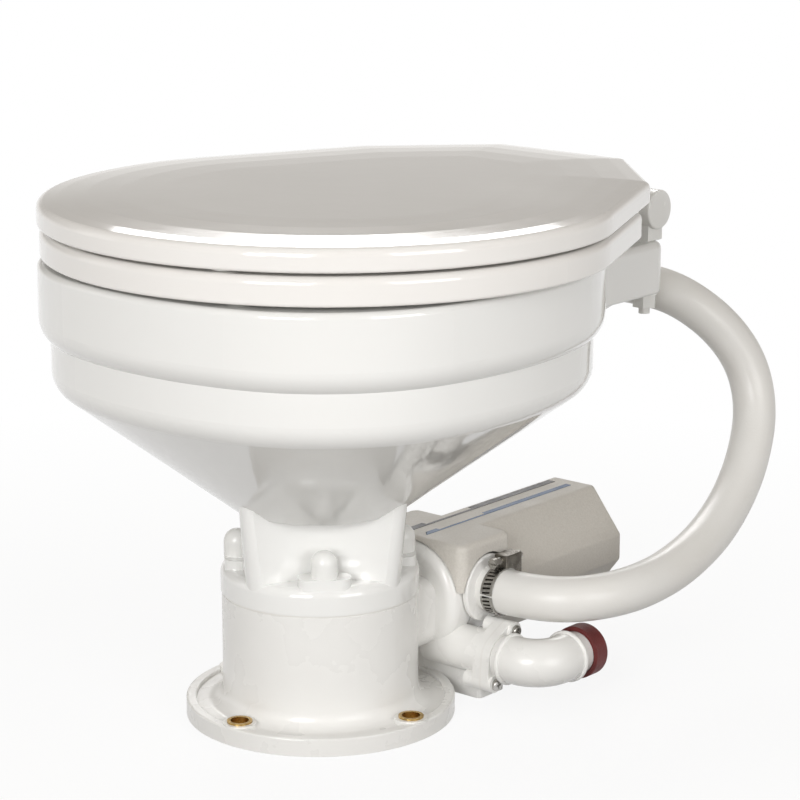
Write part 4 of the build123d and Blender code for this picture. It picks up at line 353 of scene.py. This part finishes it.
def buildSlotRow(settings):
    # mask that is 1 in slots spread round the x axis of the object's own coordinates
    group, start, end = newGroup(
        "slotRow",
        [("Vector", "NodeSocketVector", (0, 0, 0)), ("Count", "NodeSocketFloat", 30),
         ("Open", "NodeSocketFloat", 0.5), ("Half Length", "NodeSocketFloat", 0.003)],
        [("Mask", "NodeSocketFloat")],
    )
    links = group.links
    split = group.nodes.new("ShaderNodeSeparateXYZ")
    links.new(start.outputs["Vector"], split.inputs["Vector"])

    def math2(operation, first, second):
        step = group.nodes.new("ShaderNodeMath")
        step.operation = operation
        for socket, value in zip(step.inputs, (first, second)):
            if isinstance(value, (int, float)):
                socket.default_value = value
            else:
                links.new(value, socket)
        return step.outputs["Value"]

    turn = math2("ARCTAN2", split.outputs["Z"], split.outputs["Y"])
    share = math2("DIVIDE", turn, 2 * math.pi)
    slant = math2("MULTIPLY", split.outputs["X"], settings["slant"])
    row = math2("MULTIPLY", math2("ADD", math2("ADD", share, slant), 1.0), start.outputs["Count"])
    inside = math2("LESS_THAN", math2("FRACT", row, 0), start.outputs["Open"])
    across = math2("LESS_THAN", math2("ABSOLUTE", split.outputs["X"], 0), start.outputs["Half Length"])
    links.new(math2("MULTIPLY", inside, across), end.inputs["Mask"])
    return group


def makeBandFinish(settings):
    material = makeFinish("clamp_band_steel", finishes["stainless"])
    tree = material.node_tree
    shader = tree.nodes["Principled BSDF"]
    place = tree.nodes.new("ShaderNodeTexCoord")
    centre = tree.nodes.new("ShaderNodeMapping")
    centre.inputs["Location"].default_value = [-value for value in settings["middle"]]
    slots = tree.nodes.new("ShaderNodeGroup")
    slots.node_tree = slotRow
    slots.inputs["Count"].default_value = settings["slots"]
    slots.inputs["Open"].default_value = settings["open"]
    slots.inputs["Half Length"].default_value = settings["halfLength"]
    # each slot gets painted shade: its colour is mixed to near-black and its roughness raised
    slotShadeMix = tree.nodes.new("ShaderNodeMix")
    slotShadeMix.data_type = "RGBA"
    slotShadeMix.inputs["B"].default_value = (*settings["slotShadeColor"], 1)
    dull = tree.nodes.new("ShaderNodeMath")
    dull.operation = "MAXIMUM"
    tree.links.new(place.outputs["Object"], centre.inputs["Vector"])
    tree.links.new(centre.outputs["Vector"], slots.inputs["Vector"])
    tree.links.new(slots.outputs["Mask"], slotShadeMix.inputs["Factor"])
    tree.links.new(shader.inputs["Base Color"].links[0].from_socket, slotShadeMix.inputs["A"])
    tree.links.new(shader.inputs["Roughness"].links[0].from_socket, dull.inputs[0])
    tree.links.new(slots.outputs["Mask"], dull.inputs[1])
    tree.links.new(slotShadeMix.outputs["Result"], shader.inputs["Base Color"])
    tree.links.new(dull.outputs["Value"], shader.inputs["Roughness"])
    return material


slotRow = buildSlotRow(bandSettings)
materials["clamp_band_steel"] = makeBandFinish(bandSettings)
ownFinish = {"clamp_band": "clamp_band_steel", "clamp_housing": "worm_steel"}

for subpart in record["subparts"]:
    node = nodes[subpart["node"]]
    for materialSlot in node.material_slots:
        materialSlot.material = materials[ownFinish.get(subpart["node"], subpart["material_slot"])]
hose.data.materials.append(materials["hose_white"])
print("finishes made:", len(materials))

# Label stripes on top of the motor cover, plain bars with no lettering
labelSettings = {
    "top": 0.1090,
    "thick": 0.00025,
    "step": 0.0004,
    "stripes": [
        {"name": "labelStripeDark", "finish": "label_dark", "x": 0.0100, "width": 0.0060,
         "start": 0.080, "end": 0.242, "thinFrom": 0.098, "thinTo": 0.148, "thinShare": 0.35,
         "point": 0},
        {"name": "labelStripeBlue", "finish": "label_blue", "x": 0.0252, "width": 0.0046,
         "start": 0.078, "end": 0.242, "thinFrom": 0.094, "thinTo": 0.144, "thinShare": 0.35,
         "point": 0.006},
    ],
}


def pickNothing():
    if bpy.context.mode != "OBJECT":
        bpy.ops.object.mode_set(mode="OBJECT")
    bpy.ops.object.select_all(action="DESELECT")


def settlePiece(piece, body, finishName):
    pickNothing()
    piece.select_set(True)
    bpy.context.view_layer.objects.active = piece
    bpy.ops.object.transform_apply(location=True, rotation=True, scale=True)
    piece.data.materials.clear()
    piece.data.materials.append(materials[finishName])
    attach(piece, body)


def makeStripe(settings, stripe):
    pickNothing()
    bpy.ops.mesh.primitive_plane_add(size=1, location=(stripe["x"], stripe["start"], settings["top"]))
    piece = bpy.context.active_object
    piece.name = stripe["name"]
    length = stripe["end"] - stripe["start"]
    piece.scale = (stripe["width"], length, 1)
    piece.location.y += length / 2
    bpy.ops.object.transform_apply(location=True, rotation=False, scale=True)
    bpy.ops.object.mode_set(mode="EDIT")
    step = settings["step"]
    for cutAt in (stripe["start"] + stripe["width"], stripe["thinFrom"] - step, stripe["thinFrom"],
                  stripe["thinTo"], stripe["thinTo"] + step):
        bpy.ops.mesh.select_all(action="SELECT")
        bpy.ops.mesh.bisect(plane_co=(0, cutAt, 0), plane_no=(0, 1, 0))
    bpy.ops.object.mode_set(mode="OBJECT")
    thinMove = stripe["width"] * (1 - stripe["thinShare"])
    for vertex in piece.data.vertices:
        onLeft = vertex.co.x < stripe["x"]
        if onLeft and stripe["thinFrom"] - step / 2 < vertex.co.y < stripe["thinTo"] + step / 2:
            vertex.co.x += thinMove  # the thin stretch keeps the right-hand edge
        if onLeft and vertex.co.y < stripe["start"] + step:
            vertex.co.y += stripe["point"]  # slanted front end
    bpy.ops.object.mode_set(mode="EDIT")
    bpy.ops.mesh.select_all(action="SELECT")
    bpy.ops.mesh.extrude_region_move(TRANSFORM_OT_translate={"value": (0, 0, settings["thick"])})
    bpy.ops.mesh.select_all(action="SELECT")
    bpy.ops.mesh.normals_make_consistent(inside=False)
    bpy.ops.object.mode_set(mode="OBJECT")
    settlePiece(piece, "base", stripe["finish"])


for stripe in labelSettings["stripes"]:
    makeStripe(labelSettings, stripe)
print("label stripes made")

# Floor, world and lamps
studioSettings = {
    "floorSize": 30,
    "floorDrop": 0.0002,
    "floorRoughness": 0.9,
    "floorBounce": (0.29, 0.28, 0.267),
    "floorSeen": (0.97, 0.97, 0.97),
    "whiteNear": 0.88,
    "whiteFrom": 0.30,
    "whiteTo": 0.85,
    "worldHorizon": (0.34, 0.325, 0.305),
    "worldZenith": (0.50, 0.47, 0.43),
    "worldGlow": (1.15, 1.13, 1.10),
    "glowFrom": 0.02,
    "glowTo": 0.24,
    "worldStrength": 0.8,
    "zenithFrom": 0.0,
    "zenithTo": 0.8,
    "lampTarget": (0, 0.05, 0.2),
    "lamps": [
        {"name": "keyLamp", "place": (0.95, -2.50, 1.07), "size": 1.2, "power": 41},
        {"name": "fillLamp", "place": (2.40, -0.55, 0.90), "size": 1.2, "power": 19},
        {"name": "sideLamp", "place": (-2.30, -1.40, 1.00), "size": 1.2, "power": 3},
        {"name": "backLamp", "place": (-1.75, 2.10, 1.85), "size": 1.2, "power": 24},
    ],
}


def makeFloor(settings):
    pickNothing()
    bpy.ops.mesh.primitive_plane_add(size=settings["floorSize"], location=(0, 0, -settings["floorDrop"]))
    floor = bpy.context.active_object
    floor.name = "studioFloor"
    bpy.ops.object.transform_apply(location=True, rotation=False, scale=False)
    material = bpy.data.materials.new("studioFloor")
    material.use_nodes = True
    tree = material.node_tree
    shader = tree.nodes["Principled BSDF"]
    shader.inputs["Roughness"].default_value = settings["floorRoughness"]
    shader.inputs["Specular IOR Level"].default_value = 0.0
    output = tree.nodes["Material Output"]
    white = tree.nodes.new("ShaderNodeEmission")
    white.inputs["Strength"].default_value = 1.0
    ray = tree.nodes.new("ShaderNodeLightPath")
    seen = tree.nodes.new("ShaderNodeMath")
    seen.operation = "MAXIMUM"
    mirrored = tree.nodes.new("ShaderNodeMath")
    mirrored.operation = "MAXIMUM"
    tone = tree.nodes.new("ShaderNodeMix")
    tone.data_type = "RGBA"
    tone.inputs["A"].default_value = (*settings["floorBounce"], 1)
    tone.inputs["B"].default_value = (*settings["floorSeen"], 1)
    place = tree.nodes.new("ShaderNodeTexCoord")
    reach = tree.nodes.new("ShaderNodeVectorMath")
    reach.operation = "LENGTH"
    fade = tree.nodes.new("ShaderNodeMapRange")
    fade.inputs["From Min"].default_value = settings["whiteFrom"]
    fade.inputs["From Max"].default_value = settings["whiteTo"]
    fade.inputs["To Min"].default_value = settings["whiteNear"]
    fade.inputs["To Max"].default_value = 1.0
    share = tree.nodes.new("ShaderNodeMath")
    share.operation = "MULTIPLY"
    mix = tree.nodes.new("ShaderNodeMixShader")
    tree.links.new(ray.outputs["Is Camera Ray"], seen.inputs[0])
    tree.links.new(ray.outputs["Is Transmission Ray"], mirrored.inputs[0])
    tree.links.new(ray.outputs["Is Glossy Ray"], mirrored.inputs[1])
    tree.links.new(mirrored.outputs["Value"], seen.inputs[1])
    tree.links.new(ray.outputs["Is Camera Ray"], tone.inputs["Factor"])
    tree.links.new(tone.outputs["Result"], shader.inputs["Base Color"])
    tree.links.new(place.outputs["Object"], reach.inputs[0])
    tree.links.new(reach.outputs["Value"], fade.inputs["Value"])
    tree.links.new(seen.outputs["Value"], share.inputs[0])
    tree.links.new(fade.outputs["Result"], share.inputs[1])
    tree.links.new(share.outputs["Value"], mix.inputs["Fac"])
    tree.links.new(shader.outputs["BSDF"], mix.inputs[1])
    tree.links.new(white.outputs["Emission"], mix.inputs[2])
    tree.links.new(mix.outputs["Shader"], output.inputs["Surface"])
    floor.data.materials.append(material)


def makeWorld(settings):
    world = bpy.data.worlds.new("studioWorld")
    bpy.context.scene.world = world
    world.use_nodes = True
    tree = world.node_tree
    background = tree.nodes["Background"]
    output = tree.nodes["World Output"]
    place = tree.nodes.new("ShaderNodeTexCoord")
    split = tree.nodes.new("ShaderNodeSeparateXYZ")
    ramp = tree.nodes.new("ShaderNodeMapRange")
    ramp.inputs["From Min"].default_value = settings["zenithFrom"]
    ramp.inputs["From Max"].default_value = settings["zenithTo"]
    mix = tree.nodes.new("ShaderNodeMix")
    mix.data_type = "RGBA"
    mix.inputs["A"].default_value = (*settings["worldHorizon"], 1)
    mix.inputs["B"].default_value = (*settings["worldZenith"], 1)
    glow = tree.nodes.new("ShaderNodeMapRange")
    glow.interpolation_type = "SMOOTHSTEP"
    glow.inputs["From Min"].default_value = settings["glowFrom"]
    glow.inputs["From Max"].default_value = settings["glowTo"]
    glow.inputs["To Min"].default_value = 1.0
    glow.inputs["To Max"].default_value = 0.0
    band = tree.nodes.new("ShaderNodeMix")
    band.data_type = "RGBA"
    band.inputs["B"].default_value = (*settings["worldGlow"], 1)
    background.inputs["Strength"].default_value = settings["worldStrength"]
    seen = tree.nodes.new("ShaderNodeBackground")
    seen.inputs["Color"].default_value = (1, 1, 1, 1)
    seen.inputs["Strength"].default_value = 1.0
    ray = tree.nodes.new("ShaderNodeLightPath")
    either = tree.nodes.new("ShaderNodeMixShader")
    tree.links.new(place.outputs["Generated"], split.inputs["Vector"])
    tree.links.new(split.outputs["Z"], ramp.inputs["Value"])
    tree.links.new(ramp.outputs["Result"], mix.inputs["Factor"])
    tree.links.new(split.outputs["Z"], glow.inputs["Value"])
    tree.links.new(glow.outputs["Result"], band.inputs["Factor"])
    tree.links.new(mix.outputs["Result"], band.inputs["A"])
    tree.links.new(band.outputs["Result"], background.inputs["Color"])
    tree.links.new(ray.outputs["Is Camera Ray"], either.inputs["Fac"])
    tree.links.new(background.outputs["Background"], either.inputs[1])
    tree.links.new(seen.outputs["Background"], either.inputs[2])
    tree.links.new(either.outputs["Shader"], output.inputs["Surface"])


def makeLamp(settings, lamp):
    data = bpy.data.lights.new(lamp["name"], "AREA")
    data.shape = "SQUARE"
    data.size = lamp["size"]
    data.energy = lamp["power"]
    lampObject = bpy.data.objects.new(lamp["name"], data)
    bpy.context.scene.collection.objects.link(lampObject)
    lampObject.location = lamp["place"]
    aim = Vector(settings["lampTarget"]) - Vector(lamp["place"])
    lampObject.rotation_euler = aim.to_track_quat("-Z", "Y").to_euler()


makeFloor(studioSettings)
makeWorld(studioSettings)
for lamp in studioSettings["lamps"]:
    makeLamp(studioSettings, lamp)
bpy.context.scene.view_settings.view_transform = "Standard"
print("studio ready")
